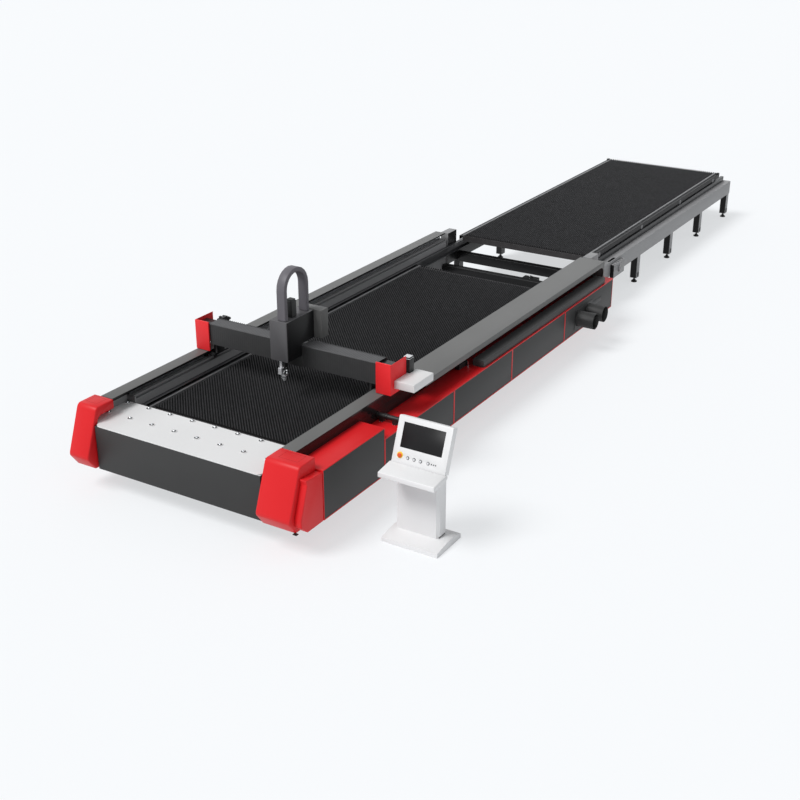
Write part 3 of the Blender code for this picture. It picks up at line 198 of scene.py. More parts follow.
def anodised_aluminium():
    """Milled aluminium, blasted and clear anodised: pale and satin, with a faint grain.

    The real grain is about 0.2 mm, and it is drawn at 1.5 mm so that it shows."""
    material, tree, shader, place = base_material("aluminium_anodised", 0.42, 0.55)
    tinted(tree, shader, place, "DCDDDF", "D2D3D6", 30)
    dimpled(tree, shader, place, 1.5, 0.04, 0.2)
    return material


def mill_scale_bar():
    """The tables' welded frame bars: hot rolled tube, brushed and oiled, a shade paler than the slats."""
    material, tree, shader, place = base_material("mild_steel_oiled", 0.5, 0.3)
    tinted(tree, shader, place, "383637", "434142", 120)
    dimpled(tree, shader, place, 5, 0.15, 0.3)
    return material


def rubbed_steel():
    """Mild steel where wheels roll and sheets slide: rubbed bright in patches, still a little dull."""
    material, tree, shader, place = base_material("mild_steel_rubbed", 0.5, 0.45)
    tinted(tree, shader, place, "858586", "6C6C6E", 80)
    return material


def coated_fabric(name, colour, other):
    """Polyester cloth coated with rubber, folded into bellows: matt, with the cloth's grain showing through.

    The real weave is about 0.5 mm, and its ribs are drawn 2 mm apart so that they show."""
    sheen = {"Sheen_Weight": 0.15, "Sheen_Roughness": 0.5}
    material, tree, shader, place = base_material(name, 0.62, 0.0, **sheen)
    tinted(tree, shader, place, colour, other, 120)
    weave = add(tree, "ShaderNodeTexWave", {"Scale": WAVE_PERIOD / 0.002, "Distortion": 0.6}, Vector=place)
    bump = add(tree, "ShaderNodeBump", {"Strength": 0.2, "Distance": 0.0002}, Height=weave.outputs[1])
    tree.links.new(bump.outputs[0], shader.inputs["Normal"])
    return material


def moulded(name, colour, other, roughness=0.4):
    """Injection moulded plastic or rubber: even colour under a light texture.

    The real texture is about 0.1 mm, and it is drawn at 1.5 mm so that it shows."""
    material, tree, shader, place = base_material(name, roughness)
    tinted(tree, shader, place, colour, other, 30)
    dimpled(tree, shader, place, 1.5, 0.05, 0.2)
    return material


def black_casting(name, colour, other):
    """Die cast aluminium, blasted and then painted black: a matt skin with a fine grit.

    The real grit is about 0.3 mm, and it is drawn at 2 mm so that it shows."""
    material, tree, shader, place = base_material(name, 0.48, 0.25)
    tinted(tree, shader, place, colour, other, 50)
    dimpled(tree, shader, place, 2, 0.1, 0.35)
    return material


def hard_glass():
    """Etched float glass over a dark screen: near black, with its reflections spread out to a haze."""
    material, tree, shader, place = base_material("glass_float", 0.42, 0.0, Specular_IOR_Level=0.22)
    tinted(tree, shader, place, "101011", "19181A", 400)
    return material


PAINT = {
    "red": powder_coat("powder_coat_red", "D01A1F", "D71F24", 0.42),
    "dark": powder_coat("powder_coat_dark_grey", "333333", "373737", 0.5),
    "head": powder_coat("powder_coat_head_grey", "565557", "5B5A5C", 0.5),
    "arch": powder_coat("powder_coat_arch_grey", "615F64", "69666B", 0.45),
    "cover": powder_coat("powder_coat_mid_grey", "616160", "686867", 0.45),
    # The caps' red is the blocks' red made brighter, as painted light on caps that sit in shade.
    "cap": powder_coat("powder_coat_red_painted_light", "E4262B", "E92E33", 0.45),
    "grey": powder_coat("powder_coat_light_grey", "868687", "8D8D8E", 0.45),
    "white": powder_coat("powder_coat_white", "D8D8D8", "DEDEDE", 0.42),
    "black": powder_coat("powder_coat_black", "121213", "181819", 0.38),
    "steel": ground_steel(),
    "chrome": chromed_steel(),
    "slat_low": slat_steel("mild_steel_laser_cut_low", LOWER_TIP_HEIGHT),
    "slat_high": slat_steel("mild_steel_laser_cut_high", UPPER_TIP_HEIGHT),
    "aluminium": anodised_aluminium(),
    "rubbed": rubbed_steel(),
    "bellows": coated_fabric("bellows_cloth_coated", "1F1F20", "262627"),
    # A paler copy of the cloth for the bellows' top faces: dust, and painted light where the top faces the
    # lamp.
    "bellows_top": coated_fabric("bellows_cloth_dust_and_painted_light", "353537", "3D3D3F"),
    # Gloss black for the right beam's outer face and the right rail cover's skirt, both grey parts: painted
    # shade.
    "gloss": powder_coat("gloss_black_painted_shade", "1C1A1B", "222021", 0.16),
    # Dark red for the strips that stand for the gap round the corner blocks' access plates: painted shade.
    "hatch_gap_shade": powder_coat("powder_coat_red_shadow_gap", "A2161A", "AA191D", 0.6),
    "tray": powder_coat("powder_coat_tray_grey", "3B3B3B", "434343", 0.5),
    "cast": black_casting("aluminium_cast_black", "1A1B1B", "242525"),
    "bar": mill_scale_bar(),
    "apron": powder_coat("powder_coat_apron_black", "222223", "29292A", 0.5),
    "ledge": powder_coat("powder_coat_beam_grey", "5A5A5B", "626263", 0.45),
    "duct": moulded("abs_moulded_black", "0B0B0B", "101010", 0.5),
    "console": powder_coat("powder_coat_console_white", "DEDEDF", "E4E4E4", 0.4),
    "rubber": moulded("rubber_moulded", "151515", "1C1C1C", 0.55),
    "plastic": moulded("abs_moulded_dark", "2A2B2D", "323335", 0.4),
    "stop": moulded("abs_moulded_orange_red", "DD4A1C", "E4551F", 0.35),
    "yellow": moulded("abs_moulded_yellow", "F2C21E", "F5CA30", 0.4),
    "glass": hard_glass(),
}


# Mesh tools.

def as_mesh(shape, name):
    """Turns a bmesh in progress into a mesh whose faces all look outward."""
    bmesh.ops.recalc_face_normals(shape, faces=shape.faces)
    mesh = bpy.data.meshes.new(name)
    shape.to_mesh(mesh)
    shape.free()
    return mesh


def point_on(axis, along, pair):
    """A point from its place along one axis and its places on the other two, in machine metres."""
    point = list(pair)
    point.insert(AXES[axis], along)
    return MACHINE + Vector(point)


def add_prism(shape, axis, outline, start, end, slot=0):
    """Adds an outline, extruded along the axis, to a bmesh in progress."""
    near = [shape.verts.new(point_on(axis, start, pair)) for pair in outline]
    far = [shape.verts.new(point_on(axis, end, pair)) for pair in outline]
    faces = [shape.faces.new(near[::-1]), shape.faces.new(far)]
    for index in range(len(outline)):
        after = (index + 1) % len(outline)
        faces.append(shape.faces.new((near[index], near[after], far[after], far[index])))
    for face in faces:
        face.material_index = slot


def add_block(shape, low, high, slot=0):
    add_prism(shape, "z", rectangle(low, high), low[2], high[2], slot)


def arc(centre, radius, start, end, steps):
    """Points along an arc, from one angle in degrees to another."""
    turns = [math.radians(start + (end - start) * step / steps) for step in range(steps + 1)]
    return [(centre[0] + radius * math.cos(turn), centre[1] + radius * math.sin(turn)) for turn in turns]


def circle(centre, radius, sides):
    return [(centre[0] + radius * math.cos(math.tau * step / sides),
             centre[1] + radius * math.sin(math.tau * step / sides)) for step in range(sides)]


def rectangle(low, high):
    return [(low[0], low[1]), (high[0], low[1]), (high[0], high[1]), (low[0], high[1])]


def join_rings(shape, rings, slot):
    """Closes a row of rings of points into a solid, with a flat end on the first and the last."""
    sides = len(rings[0])
    faces = [shape.faces.new(rings[0][::-1]), shape.faces.new(rings[-1])]
    for lower, upper in zip(rings, rings[1:]):
        for index in range(sides):
            after = (index + 1) % sides
            faces.append(shape.faces.new((lower[index], lower[after], upper[after], upper[index])))
    for face in faces:
        face.material_index = slot


def add_turned(shape, axis, centre, profile, sides, slot=0):
    """Adds a profile of (radius, place along the axis) pairs, spun about the axis."""
    rings = []
    for radius, along in profile:
        ring = circle(centre, radius, sides)
        rings.append([shape.verts.new(point_on(axis, along, pair)) for pair in ring])
    join_rings(shape, rings, slot)


def new_object(name, mesh):
    piece = bpy.data.objects.new(name, mesh)
    bpy.context.scene.collection.objects.link(piece)
    return piece


def place_piece(name, mesh, body, materials, smooth=0.0, bevel=0.0):
    """Makes the object, gives it its materials and soft edges, and has it ride on its body."""
    mesh.name = name
    for material in materials:
        mesh.materials.append(material)
    piece = new_object(name, mesh)
    if smooth:
        mesh.shade_smooth()
        mesh.set_sharp_from_angle(angle=math.radians(smooth))
    if bevel:
        soften(piece, bevel)
    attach(piece, body)
    return piece


ROUNDED_FROM = math.radians(30)
WELD_DISTANCE = 0.00002
FLAT_WITHIN = math.radians(1)


def soften(piece, width, segments=2):
    """Rounds the edges as a folded sheet's or a casting's are."""
    edge = piece.modifiers.new("rounded_edges", "BEVEL")
    edge.width = width
    edge.segments = segments
    edge.limit_method = "ANGLE"
    edge.angle_limit = ROUNDED_FROM
    edge.harden_normals = True
    piece.data.shade_smooth()


def dressed(node, material, width, segments):
    """A copy of a CAD node with its flat faces whole and its edges rounded, which then stands for it."""
    source = frame["nodes"][node]
    shape = bmesh.new()
    shape.from_mesh(source.data)
    bmesh.ops.remove_doubles(shape, verts=shape.verts, dist=WELD_DISTANCE)
    bmesh.ops.dissolve_limit(shape, angle_limit=FLAT_WITHIN, verts=shape.verts, edges=shape.edges)
    mesh = as_mesh(shape, node + "_dressed")
    piece = new_object(node + "_dressed", mesh)
    mesh.materials.append(PAINT[material])
    for face in mesh.polygons:
        face.material_index = 0
    soften(piece, width, segments)
    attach(piece, source["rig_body"])
    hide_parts(node)
    return piece


def repainted(piece, material, chosen):
    """Paints the faces that are chosen by their middle and their direction another colour, mostly as painted
    light and shade.
    """
    mesh = piece.data
    mesh.materials.append(PAINT[material])
    slot = len(mesh.materials) - 1
    for face in mesh.polygons:
        if chosen(face.center - MACHINE, face.normal):
            face.material_index = slot


# Shuttle tables.

SLAT_PITCH = 0.0225
SLAT_THICKNESS = 0.003
SLAT_DEPTH = 0.085
SLAT_BITE = 0.002
TOOTH_COUNT = 52
TOOTH_HEIGHT = 0.030
FRAME_DEPTH = 0.110
BAR_WIDTH = 0.040
GUIDE_WIDTH = 0.030
GUIDE_DROP = 0.008
TABLE_HALF = 1.073
APRON_HALF = 1.134
APRON_THICKNESS = 0.003
APRON_LIP = 0.022
APRON_OVER_WHEEL = 0.006
APRON_OVERLAP = 0.001
BUFFER_LENGTH = 0.060
BUFFER_INSET = 0.015
BUFFER_DROP = 0.004
WHEEL_RADIUS = 0.040
WHEEL_ROUND = 0.004
WHEEL_FLOAT = 0.0003
WHEEL_SPAN = (0.022, 0.062)
WHEEL_SIDES = 24
AXLE_RADIUS = 0.012
AXLE_SPAN = (-0.002, 0.058)
AXLE_SIDES = 12
WHEEL_SHARES = (0.06, 0.35, 0.65, 0.94)
LOWER_TRACK = 0.645
UPPER_TRACK = 0.764
SLAT_FINISH, GUIDE_FINISH, BAR_FINISH, APRON_FINISH = 0, 1, 2, 3


def slat_outline(half, top, lead):
    """A toothed slat. Its first valley lies at the right end, or half a pitch in where lead is 1."""
    step = half / TOOTH_COUNT
    points = [(-half, top - SLAT_DEPTH), (half, top - SLAT_DEPTH)]
    for index in range(2 * TOOTH_COUNT + 1):
        is_tip = (index + lead) % 2 == 1
        points.append((half - index * step, top if is_tip else top - TOOTH_HEIGHT))
    return points


def table_frame_bars(shape, front, back, low, bar_top, guide_top):
    """The frame's side and end bars, with a rubbed guide strip on top of each side bar."""
    half = TABLE_HALF
    for side in (-1, 1):
        inner, outer = sorted((side * (half - BAR_WIDTH), side * half))
        add_prism(shape, "y", rectangle((inner, low), (outer, bar_top)), front, back, BAR_FINISH)
        inner, outer = sorted((side * (half - GUIDE_WIDTH), side * half))
        add_prism(shape, "y", rectangle((inner, bar_top), (outer, guide_top)), front, back, GUIDE_FINISH)
    inside = half - BAR_WIDTH
    for end_front, end_back in ((front, front + BAR_WIDTH), (back - BAR_WIDTH, back)):
        add_prism(shape, "y", rectangle((-inside, low), (inside, bar_top)), end_front, end_back, BAR_FINISH)


def table_slats(shape, low, high):
    """Slats across the table, every second one shifted by half a tooth, with a comb on each end bar."""
    inside = high.y - low.y - 2 * BAR_WIDTH
    count = round(inside / SLAT_PITCH) - 1
    half = TABLE_HALF - BAR_WIDTH + SLAT_BITE
    outlines = [slat_outline(half, high.z, lead) for lead in (0, 1)]
    rows = [(low.y + SLAT_THICKNESS, BAR_FINISH)]
    for index in range(count):
        rows.append((low.y + BAR_WIDTH + (index + 1) * inside / (count + 1), SLAT_FINISH))
    rows.append((high.y - SLAT_THICKNESS, APRON_FINISH))
    for number, (place, face_paint) in enumerate(rows):
        start, end = place - SLAT_THICKNESS / 2, place + SLAT_THICKNESS / 2
        add_prism(shape, "y", outlines[number % 2], start, end, face_paint)


def table_aprons(shape, low, high, track):
    """The plate over the wheels on each side, turned down on its outer edge, with a buffer at its far end."""
    top = track + 2 * WHEEL_RADIUS + APRON_OVER_WHEEL
    for side in (-1, 1):
        edge = side * APRON_HALF
        inner, outer = sorted((side * (TABLE_HALF - APRON_OVERLAP), edge))
        plate = rectangle((inner, top - APRON_THICKNESS), (outer, top))
        add_prism(shape, "y", plate, low.y, high.y, APRON_FINISH)
        inner, outer = sorted((edge, edge - side * APRON_THICKNESS))
        lip = rectangle((inner, track + APRON_LIP), (outer, top))
        add_prism(shape, "y", lip, low.y, high.y, APRON_FINISH)
        inner, outer = sorted((side * (TABLE_HALF + BUFFER_INSET), edge))
        corner = (inner, high.y - BUFFER_LENGTH, top)
        add_block(shape, corner, (outer, high.y, high.z - BUFFER_DROP), APRON_FINISH)


def table_wheels(shape, front, length, track):
    """Wheels on stub axles along both sides, as in the CAD."""
    for side in (-1, 1):
        for share in WHEEL_SHARES:
            centre = (front + share * length, track + WHEEL_RADIUS + WHEEL_FLOAT)
            near, far = sorted(side * (TABLE_HALF + out) for out in WHEEL_SPAN)
            tread = ((WHEEL_RADIUS - WHEEL_ROUND, near), (WHEEL_RADIUS, near + WHEEL_ROUND),
                     (WHEEL_RADIUS, far - WHEEL_ROUND), (WHEEL_RADIUS - WHEEL_ROUND, far))
            add_turned(shape, "x", centre, tread, WHEEL_SIDES, GUIDE_FINISH)
            near, far = sorted(side * (TABLE_HALF + out) for out in AXLE_SPAN)
            axle = ((AXLE_RADIUS, near), (AXLE_RADIUS, far))
            add_turned(shape, "x", centre, axle, AXLE_SIDES, GUIDE_FINISH)


def make_table(node, body, track, slats):
    low, high = machine_box(node)
    shape = bmesh.new()
    table_frame_bars(shape, low.y, high.y, high.z - FRAME_DEPTH, high.z - TOOTH_HEIGHT, high.z - GUIDE_DROP)
    table_slats(shape, low, high)
    table_aprons(shape, low, high, track)
    table_wheels(shape, low.y, high.y - low.y, track)
    finishes = (PAINT[slats], PAINT["rubbed"], PAINT["bar"], PAINT["apron"])
    piece = place_piece(node + "_slats", as_mesh(shape, node), body, finishes)
    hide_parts(node)


# Bellows.

BELLOWS_PITCH = 0.030
BELLOWS_FRONT_FOLD = 0.0008
BELLOWS_TOP_FOLD = 0.002
BELLOWS_BACK_FOLD = 0.026
BELLOWS_NOTCH = 0.019
BELLOWS_WALL = 0.003
BELLOWS_CORNER = 0.008
BELLOWS_SHOULDER = 0.045
END_PLEAT_SHARES = (0.5, 0.8, 0.92, 0.96)
PLEAT_TOP_FACES = (1, 2, 3, 4)


def pleat_ring(low, high, folded):
    """The bellows' section, outside and back along the inside: over the front, top and back, open below."""
    ring = []
    for skin in (0, BELLOWS_WALL):
        front = low.y + BELLOWS_FRONT_FOLD * folded + skin
        back = high.y - BELLOWS_BACK_FOLD * folded - skin
        top = high.z - BELLOWS_TOP_FOLD * folded - skin
        notch = BELLOWS_NOTCH * folded
        arch = [(front, low.z), (front, top - BELLOWS_CORNER), (front + BELLOWS_CORNER, top),
                (high.y - BELLOWS_SHOULDER, top), (back - BELLOWS_CORNER, top - notch),
                (back, top - BELLOWS_CORNER - notch), (back, low.z)]
        ring += arch if skin == 0 else arch[::-1]
    return ring


def pleat(low, high, start, end):
    """One fold, from ridge to valley to ridge, as a closed strip."""
    shape = bmesh.new()
    rings = []
    for along, folded in ((start, 0), ((start + end) / 2, 1), (end, 0)):
        ring = pleat_ring(low, high, folded)
        rings.append([shape.verts.new(point_on("x", along, pair)) for pair in ring])
    size = len(rings[0])
    for near, far in zip(rings, rings[1:]):
        for index in range(size):
            after = (index + 1) % size
            face = shape.faces.new((near[index], near[after], far[after], far[index]))
            # Faces over the top take the paler cloth: dust and painted light.
            face.material_index = 1 if index in PLEAT_TOP_FACES else 0
    shape.faces.new(rings[0])
    shape.faces.new(rings[-1])
    return shape


def make_bellows(node, fixed_end):
    """Fine pleats over the beam, each one a piece of its own."""
    low, high = machine_box(node)
    count = round((high.x - low.x) / BELLOWS_PITCH)
    pitch = (high.x - low.x) / count
    ends = len(END_PLEAT_SHARES)
    shares = list(END_PLEAT_SHARES) + [1] * (count - 2 * ends) + list(END_PLEAT_SHARES[::-1])
    fixed, toward = (low.x, 1) if fixed_end == "left" else (high.x, -1)
    for number, share in enumerate(shares):
        places = sorted(fixed + toward * step * pitch for step in (number, number + 1))
        mesh = as_mesh(pleat(low, high, *places), node + "_pleat")
        mesh.materials.append(PAINT["bellows"])
        mesh.materials.append(PAINT["bellows_top"])
        piece = new_object(node + "_pleat_" + str(number + 1), mesh)
        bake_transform(piece)
        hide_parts(node)


# Transfer plate and its ball units.

PLATE_TOP = 0.813
PLATE_THICKNESS = 0.012
PLATE_HALF = 1.131
PLATE_CORNER = 0.060
EAR_HALF = 1.280
EAR_FRONT = 0.066
BALL_ROWS = (0.3327, 0.6383)
BALL_COUNT = 8
BALL_FIRST = -1.236
BALL_PITCH = 0.317
CUP_RADIUS = 0.036
CUP_HEIGHT = 0.006
GAP_RADIUS = 0.0275
BALL_RADIUS = 0.0165
BALL_RISE = 0.0155
BALL_SIDES = 24
RIM_ROUND = 0.002
GAP_RISE = 0.0006
LIP_THICKNESS = 0.004
CORNER_STEPS = 8


def add_ball_unit(shape, place):
    """A pressed cup, a black disc inside it as painted shade for the gap, and the ball that stands out of the
    gap.
    """
    rim = PLATE_TOP + CUP_HEIGHT
    cup = ((CUP_RADIUS, PLATE_TOP - 0.001), (CUP_RADIUS, rim - RIM_ROUND), (CUP_RADIUS - RIM_ROUND, rim),
           (GAP_RADIUS, rim))
    add_turned(shape, "z", place, cup, BALL_SIDES)
    # A black disc round the ball, as painted shade in the gap between ball and cup.
    gap = ((GAP_RADIUS, rim - RIM_ROUND), (GAP_RADIUS, rim + GAP_RISE))
    add_turned(shape, "z", place, gap, BALL_SIDES, 1)
    dome = [(BALL_RADIUS, rim)]
    for degrees in (15, 30, 45, 60, 75, 86):
        turn = math.radians(degrees)
        dome.append((BALL_RADIUS * math.cos(turn), rim + BALL_RISE * math.sin(turn)))
    add_turned(shape, "z", place, dome, BALL_SIDES, 2)


def make_transfer_plate():
    """The plate with its rounded front corners, the ears beside it, its turned down lip and its balls."""
    low, high = machine_box("ball_transfer_plate")
    bottom = PLATE_TOP - PLATE_THICKNESS
    across = PLATE_HALF - PLATE_CORNER
    left = arc((-across, PLATE_CORNER), PLATE_CORNER, 180, 270, CORNER_STEPS)
    right = arc((across, PLATE_CORNER), PLATE_CORNER, 270, 360, CORNER_STEPS)
    outline = left + right + [(PLATE_HALF, EAR_FRONT), (EAR_HALF, EAR_FRONT), (EAR_HALF, high.y),
                              (-EAR_HALF, high.y), (-EAR_HALF, EAR_FRONT), (-PLATE_HALF, EAR_FRONT)]
    shape = bmesh.new()
    add_prism(shape, "z", outline, bottom, PLATE_TOP)
    add_block(shape, (-PLATE_HALF, high.y - LIP_THICKNESS, low.z), (PLATE_HALF, high.y, bottom))
    for row in BALL_ROWS:
        for index in range(BALL_COUNT):
            add_ball_unit(shape, (BALL_FIRST + index * BALL_PITCH, row))
    finishes = (PAINT["white"], PAINT["rubber"], PAINT["chrome"])
    piece = place_piece("transfer_plate_and_balls", as_mesh(shape, "transfer_plate"), "root", finishes,
                        smooth=30, bevel=0.0012)
    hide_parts("ball_transfer_plate")


# Cutting head.

SLIDE_LOW = 1.213
SLIDE_INSET = 0.004
SLIDE_DROP = 0.008
HEAD_LOW = 1.046
HOUSING_TOP = 1.214
COLLIMATOR_LOW = 1.128
COLLIMATOR_TOP = 1.212
SENSOR_TOP = 1.124
KNOB_HEIGHTS = (1.066, 1.098, 1.130)
KNOB_SETBACK = 0.012
BRIGHT_KNOB_BELOW = 1.1
SCREW_PLACES = ((0.052, 1.132), (0.066, 1.090), (0.056, 1.068))
TIP_PROFILE = ((0.016, 0.968), (0.016, 0.978), (0.024, 0.982), (0.024, 0.995), (0.032, 1.000), (0.032, 1.020),
               (0.038, 1.026), (0.038, 1.044))
NOZZLE_RADIUS = 0.006
TIP_BAND = ((0.0332, 1.006), (0.0332, 1.016))
TIP_SIDES = 32


def make_cutting_head():
    """A pale collimator body beside a black drive housing with knobs, over a turned tip with its nozzle.

    What goes up into the housing's well at the top of the stroke stays within the slide's width and depth."""
    low, high = machine_box("cutting_head")
    middle = ((low.x + high.x) / 2, (low.y + high.y) / 2)
    shape = bmesh.new()
    add_block(shape, (low.x + SLIDE_INSET, low.y + SLIDE_INSET, SLIDE_LOW),
              (high.x - SLIDE_INSET, high.y - SLIDE_INSET, high.z - SLIDE_DROP))
    add_block(shape, (low.x + 0.036, low.y + 0.010, HEAD_LOW), (high.x - 0.003, high.y - 0.005, HOUSING_TOP))
    add_block(shape, (low.x + 0.003, low.y + 0.005, COLLIMATOR_LOW),
              (low.x + 0.035, high.y - 0.006, COLLIMATOR_TOP), 1)
    add_block(shape, (low.x - 0.008, low.y - 0.014, HEAD_LOW), (low.x + 0.039, high.y - 0.010, SENSOR_TOP), 1)
    for height in KNOB_HEIGHTS:
        centre = (middle[1] - KNOB_SETBACK, height)
        stem = ((0.006, high.x - 0.004), (0.006, high.x + 0.006))
        add_turned(shape, "x", centre, stem, 12, 1)
        knob = ((0.011, high.x + 0.006), (0.011, high.x + 0.018))
        add_turned(shape, "x", centre, knob, 16, 1 if height < BRIGHT_KNOB_BELOW else 0)
    screw = ((0.008, low.y + 0.002), (0.008, low.y + 0.011))
    for across, height in SCREW_PLACES:
        add_turned(shape, "y", (low.x + across, height), screw, 16, 1)
    add_turned(shape, "z", middle, ((NOZZLE_RADIUS, low.z),) + TIP_PROFILE, TIP_SIDES, 1)
    add_turned(shape, "z", middle, TIP_BAND, TIP_SIDES, 0)
    piece = place_piece("cutting_head_body", as_mesh(shape, "cutting_head"), "cutting_head",
                        (PAINT["cast"], PAINT["aluminium"]), smooth=35, bevel=0.0015)
    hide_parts("cutting_head")


# Drive motor behind the left end of the gantry.

SERVO_TOP = 1.330
GEARBOX_HEIGHT = 0.110
PLUG_AXIS_HEIGHT = 1.280
PLUG_SIDES = 20


def make_left_motor():
    """A squat servo motor that stands on its gearbox, with two plugs and its cable boxes."""
    low, high = machine_box("gantry_motor_left")
    left = low.x - 0.020
    shape = bmesh.new()
    shelf = low.z + GEARBOX_HEIGHT
    add_block(shape, (left, low.y, low.z), (high.x - 0.030, high.y - 0.110, shelf))
    add_block(shape, (left + 0.006, low.y + 0.010, shelf), (high.x - 0.036, high.y - 0.120, SERVO_TOP))
    tall_plug = ((0.019, SERVO_TOP), (0.019, 1.352), (0.015, 1.356))
    add_turned(shape, "z", (left + 0.030, low.y + 0.050), tall_plug, PLUG_SIDES)
    short_plug = ((0.015, SERVO_TOP), (0.015, 1.344), (0.012, 1.348))
    add_turned(shape, "z", (left + 0.030, low.y + 0.110), short_plug, PLUG_SIDES)
    rear_plug = ((0.024, high.y - 0.120), (0.024, high.y - 0.085), (0.017, high.y - 0.080),
                 (0.017, high.y - 0.050))
    add_turned(shape, "y", (left + 0.036, PLUG_AXIS_HEIGHT), rear_plug, PLUG_SIDES)
    add_block(shape, (left + 0.040, low.y + 0.030, SERVO_TOP), (high.x - 0.040, low.y + 0.130, 1.346))
    piece = place_piece("gantry_motor_left_servo", as_mesh(shape, "servo"), "gantry", (PAINT["cast"],),
                        smooth=35, bevel=0.003)
    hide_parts("gantry_motor_left")


# Small fittings on the bed and its right side.

DECK = 0.7246
TUBE_AXIS = (1.90, 0.7903)
SLEEVE = ((0.0292, 1.3388), (0.0292, 1.6262))
CLAMP_RADIUS = 0.037
CLAMP_SPANS = ((1.3388, 1.3500), (1.4300, 1.4420), (1.4620, 1.4740), (1.6080, 1.6268))
SADDLE_PLACES = (1.3702, 1.5429)
SADDLE_WIDTH = 0.0512
SADDLE_SPAN = (1.8738, 1.9262)
SADDLE_TOP = 0.7915
SADDLE_BOLT = ((0.006, DECK), (0.006, 0.7330))
POST_PLACE = (1.452, 3.800)
SWITCH_AXIS = (1.400, 0.7560)
BRACKET_AXIS = (0.300, 7.930)
COVER_BOLT_FIRST = (1.3290, 8.765)
COVER_BOLT_PITCH = 0.080
COVER_BOLT_COUNT = 5
COVER_BOLT = ((0.015, 0.6402), (0.015, 0.6416))


def make_tube_sleeve():
    """The sleeve on the tube across the deck, with its clamp rings and the two saddles that it lies in."""
    sleeve = bmesh.new()
    add_turned(sleeve, "x", TUBE_AXIS, SLEEVE, 28)
    for start, end in CLAMP_SPANS:
        add_turned(sleeve, "x", TUBE_AXIS, ((CLAMP_RADIUS, start), (CLAMP_RADIUS, end)), 28)
    for start in SADDLE_PLACES:
        add_block(sleeve, (start, SADDLE_SPAN[0], DECK), (start + SADDLE_WIDTH, SADDLE_SPAN[1], SADDLE_TOP))
        for across in (0.012, 0.039):
            for along in (1.866, 1.934):
                add_turned(sleeve, "z", (start + across, along), SADDLE_BOLT, 6, 1)
    place_piece("cross_tube_sleeve", as_mesh(sleeve, "sleeve"), "root", (PAINT["cast"], PAINT["steel"]),
                smooth=35, bevel=0.0015)


def make_fittings():
    """Tray lid, post, boxes, bolts and foot that the photo shows on the deck and between the beams."""
    lid = bmesh.new()
    add_block(lid, (1.4966, 3.8510, 0.7290), (1.6464, 7.6190, 0.8122))
    place_piece("chain_tray_lid", as_mesh(lid, "lid"), "root", (PAINT["tray"],), smooth=30, bevel=0.002)

    post = bmesh.new()
    add_turned(post, "z", POST_PLACE, ((0.014, DECK), (0.014, 0.7300)), 20)
    add_turned(post, "z", POST_PLACE, ((0.008, 0.7300), (0.008, 0.7900)), 20)
    place_piece("deck_post", as_mesh(post, "post"), "root", (PAINT["chrome"],), smooth=30, bevel=0.001)

    switch = bmesh.new()
    add_block(switch, (1.3700, 3.6200, DECK), (1.4300, 3.8200, 0.7900))
    add_turned(switch, "y", SWITCH_AXIS, ((0.020, 3.8200), (0.020, 3.8500)), 20)
    place_piece("limit_switch_box", as_mesh(switch, "switch"), "root", (PAINT["cast"],),
                smooth=30, bevel=0.003)

    bracket = bmesh.new()
    add_block(bracket, (0.180, 7.8510, 0.380), (0.420, 8.010, 0.480))
    add_block(bracket, (0.130, 7.8510, 0.400), (0.180, 7.960, 0.450))
    add_turned(bracket, "z", BRACKET_AXIS, ((0.040, 0.480), (0.040, 0.500), (0.030, 0.506)), 24)
    add_turned(bracket, "z", BRACKET_AXIS, ((0.016, 0.506), (0.016, 0.514)), 6, 1)
    place_piece("cross_member_bracket", as_mesh(bracket, "bracket"), "root", (PAINT["cast"], PAINT["chrome"]),
                smooth=30, bevel=0.003)

    bolts = bmesh.new()
    across, first = COVER_BOLT_FIRST
    for index in range(COVER_BOLT_COUNT):
        add_turned(bolts, "z", (across, first + index * COVER_BOLT_PITCH), COVER_BOLT, 16)
    place_piece("drive_cover_bolts", as_mesh(bolts, "bolts"), "root", (PAINT["rubber"],))

    foot = bmesh.new()
    add_block(foot, (1.5500, -0.0500, 0.2700), (1.6000, -0.0100, 0.2788))
    place_piece("guard_foot", as_mesh(foot, "foot"), "root", (PAINT["rubber"],), smooth=30, bevel=0.002)


LEG_COUNT = 5
LEG_FIRST = 7.92 + 0.506
LEG_PITCH = (6.639 - 0.506 - 0.091) / 4
CHANNEL_SPAN = (1.186, 1.284)
CHANNEL_FRONT = 0.0612
CHANNEL_LOW = 0.086
CHANNEL_TOP = 0.4488
STOP_SPAN = (1.2903, 1.2945)


def make_leg_fittings():
    """A thin black sheet across each open leg channel, as painted shade for its dark inside, and the stop
    that is bolted low on its outer face.
    """
    for side, name in ((-1, "left"), (1, "right")):
        shape = bmesh.new()
        for index in range(LEG_COUNT):
            along = LEG_FIRST + index * LEG_PITCH
            inner, outer = sorted(side * place for place in CHANNEL_SPAN)
            # A thin black sheet across the channel's open front, as painted shade for its inside.
            add_block(shape, (inner, along - CHANNEL_FRONT, CHANNEL_LOW),
                      (outer, along - CHANNEL_FRONT + 0.001, CHANNEL_TOP))
            inner, outer = sorted(side * place for place in STOP_SPAN)
            add_block(shape, (inner, along - 0.020, 0.100), (outer, along + 0.045, 0.165))
        place_piece("leg_channel_shade_and_stops_" + name, as_mesh(shape, "legs"), "root", (PAINT["black"],))


HATCH_FRONT = 0.150
HATCH_BACK = 0.300
HATCH_GAP = 0.0035
HATCH_LEFT_MARGINS = (0.055, 0.070)
HATCH_RIGHT_MARGIN = 0.110
HATCH_RIGHT_END = 1.500


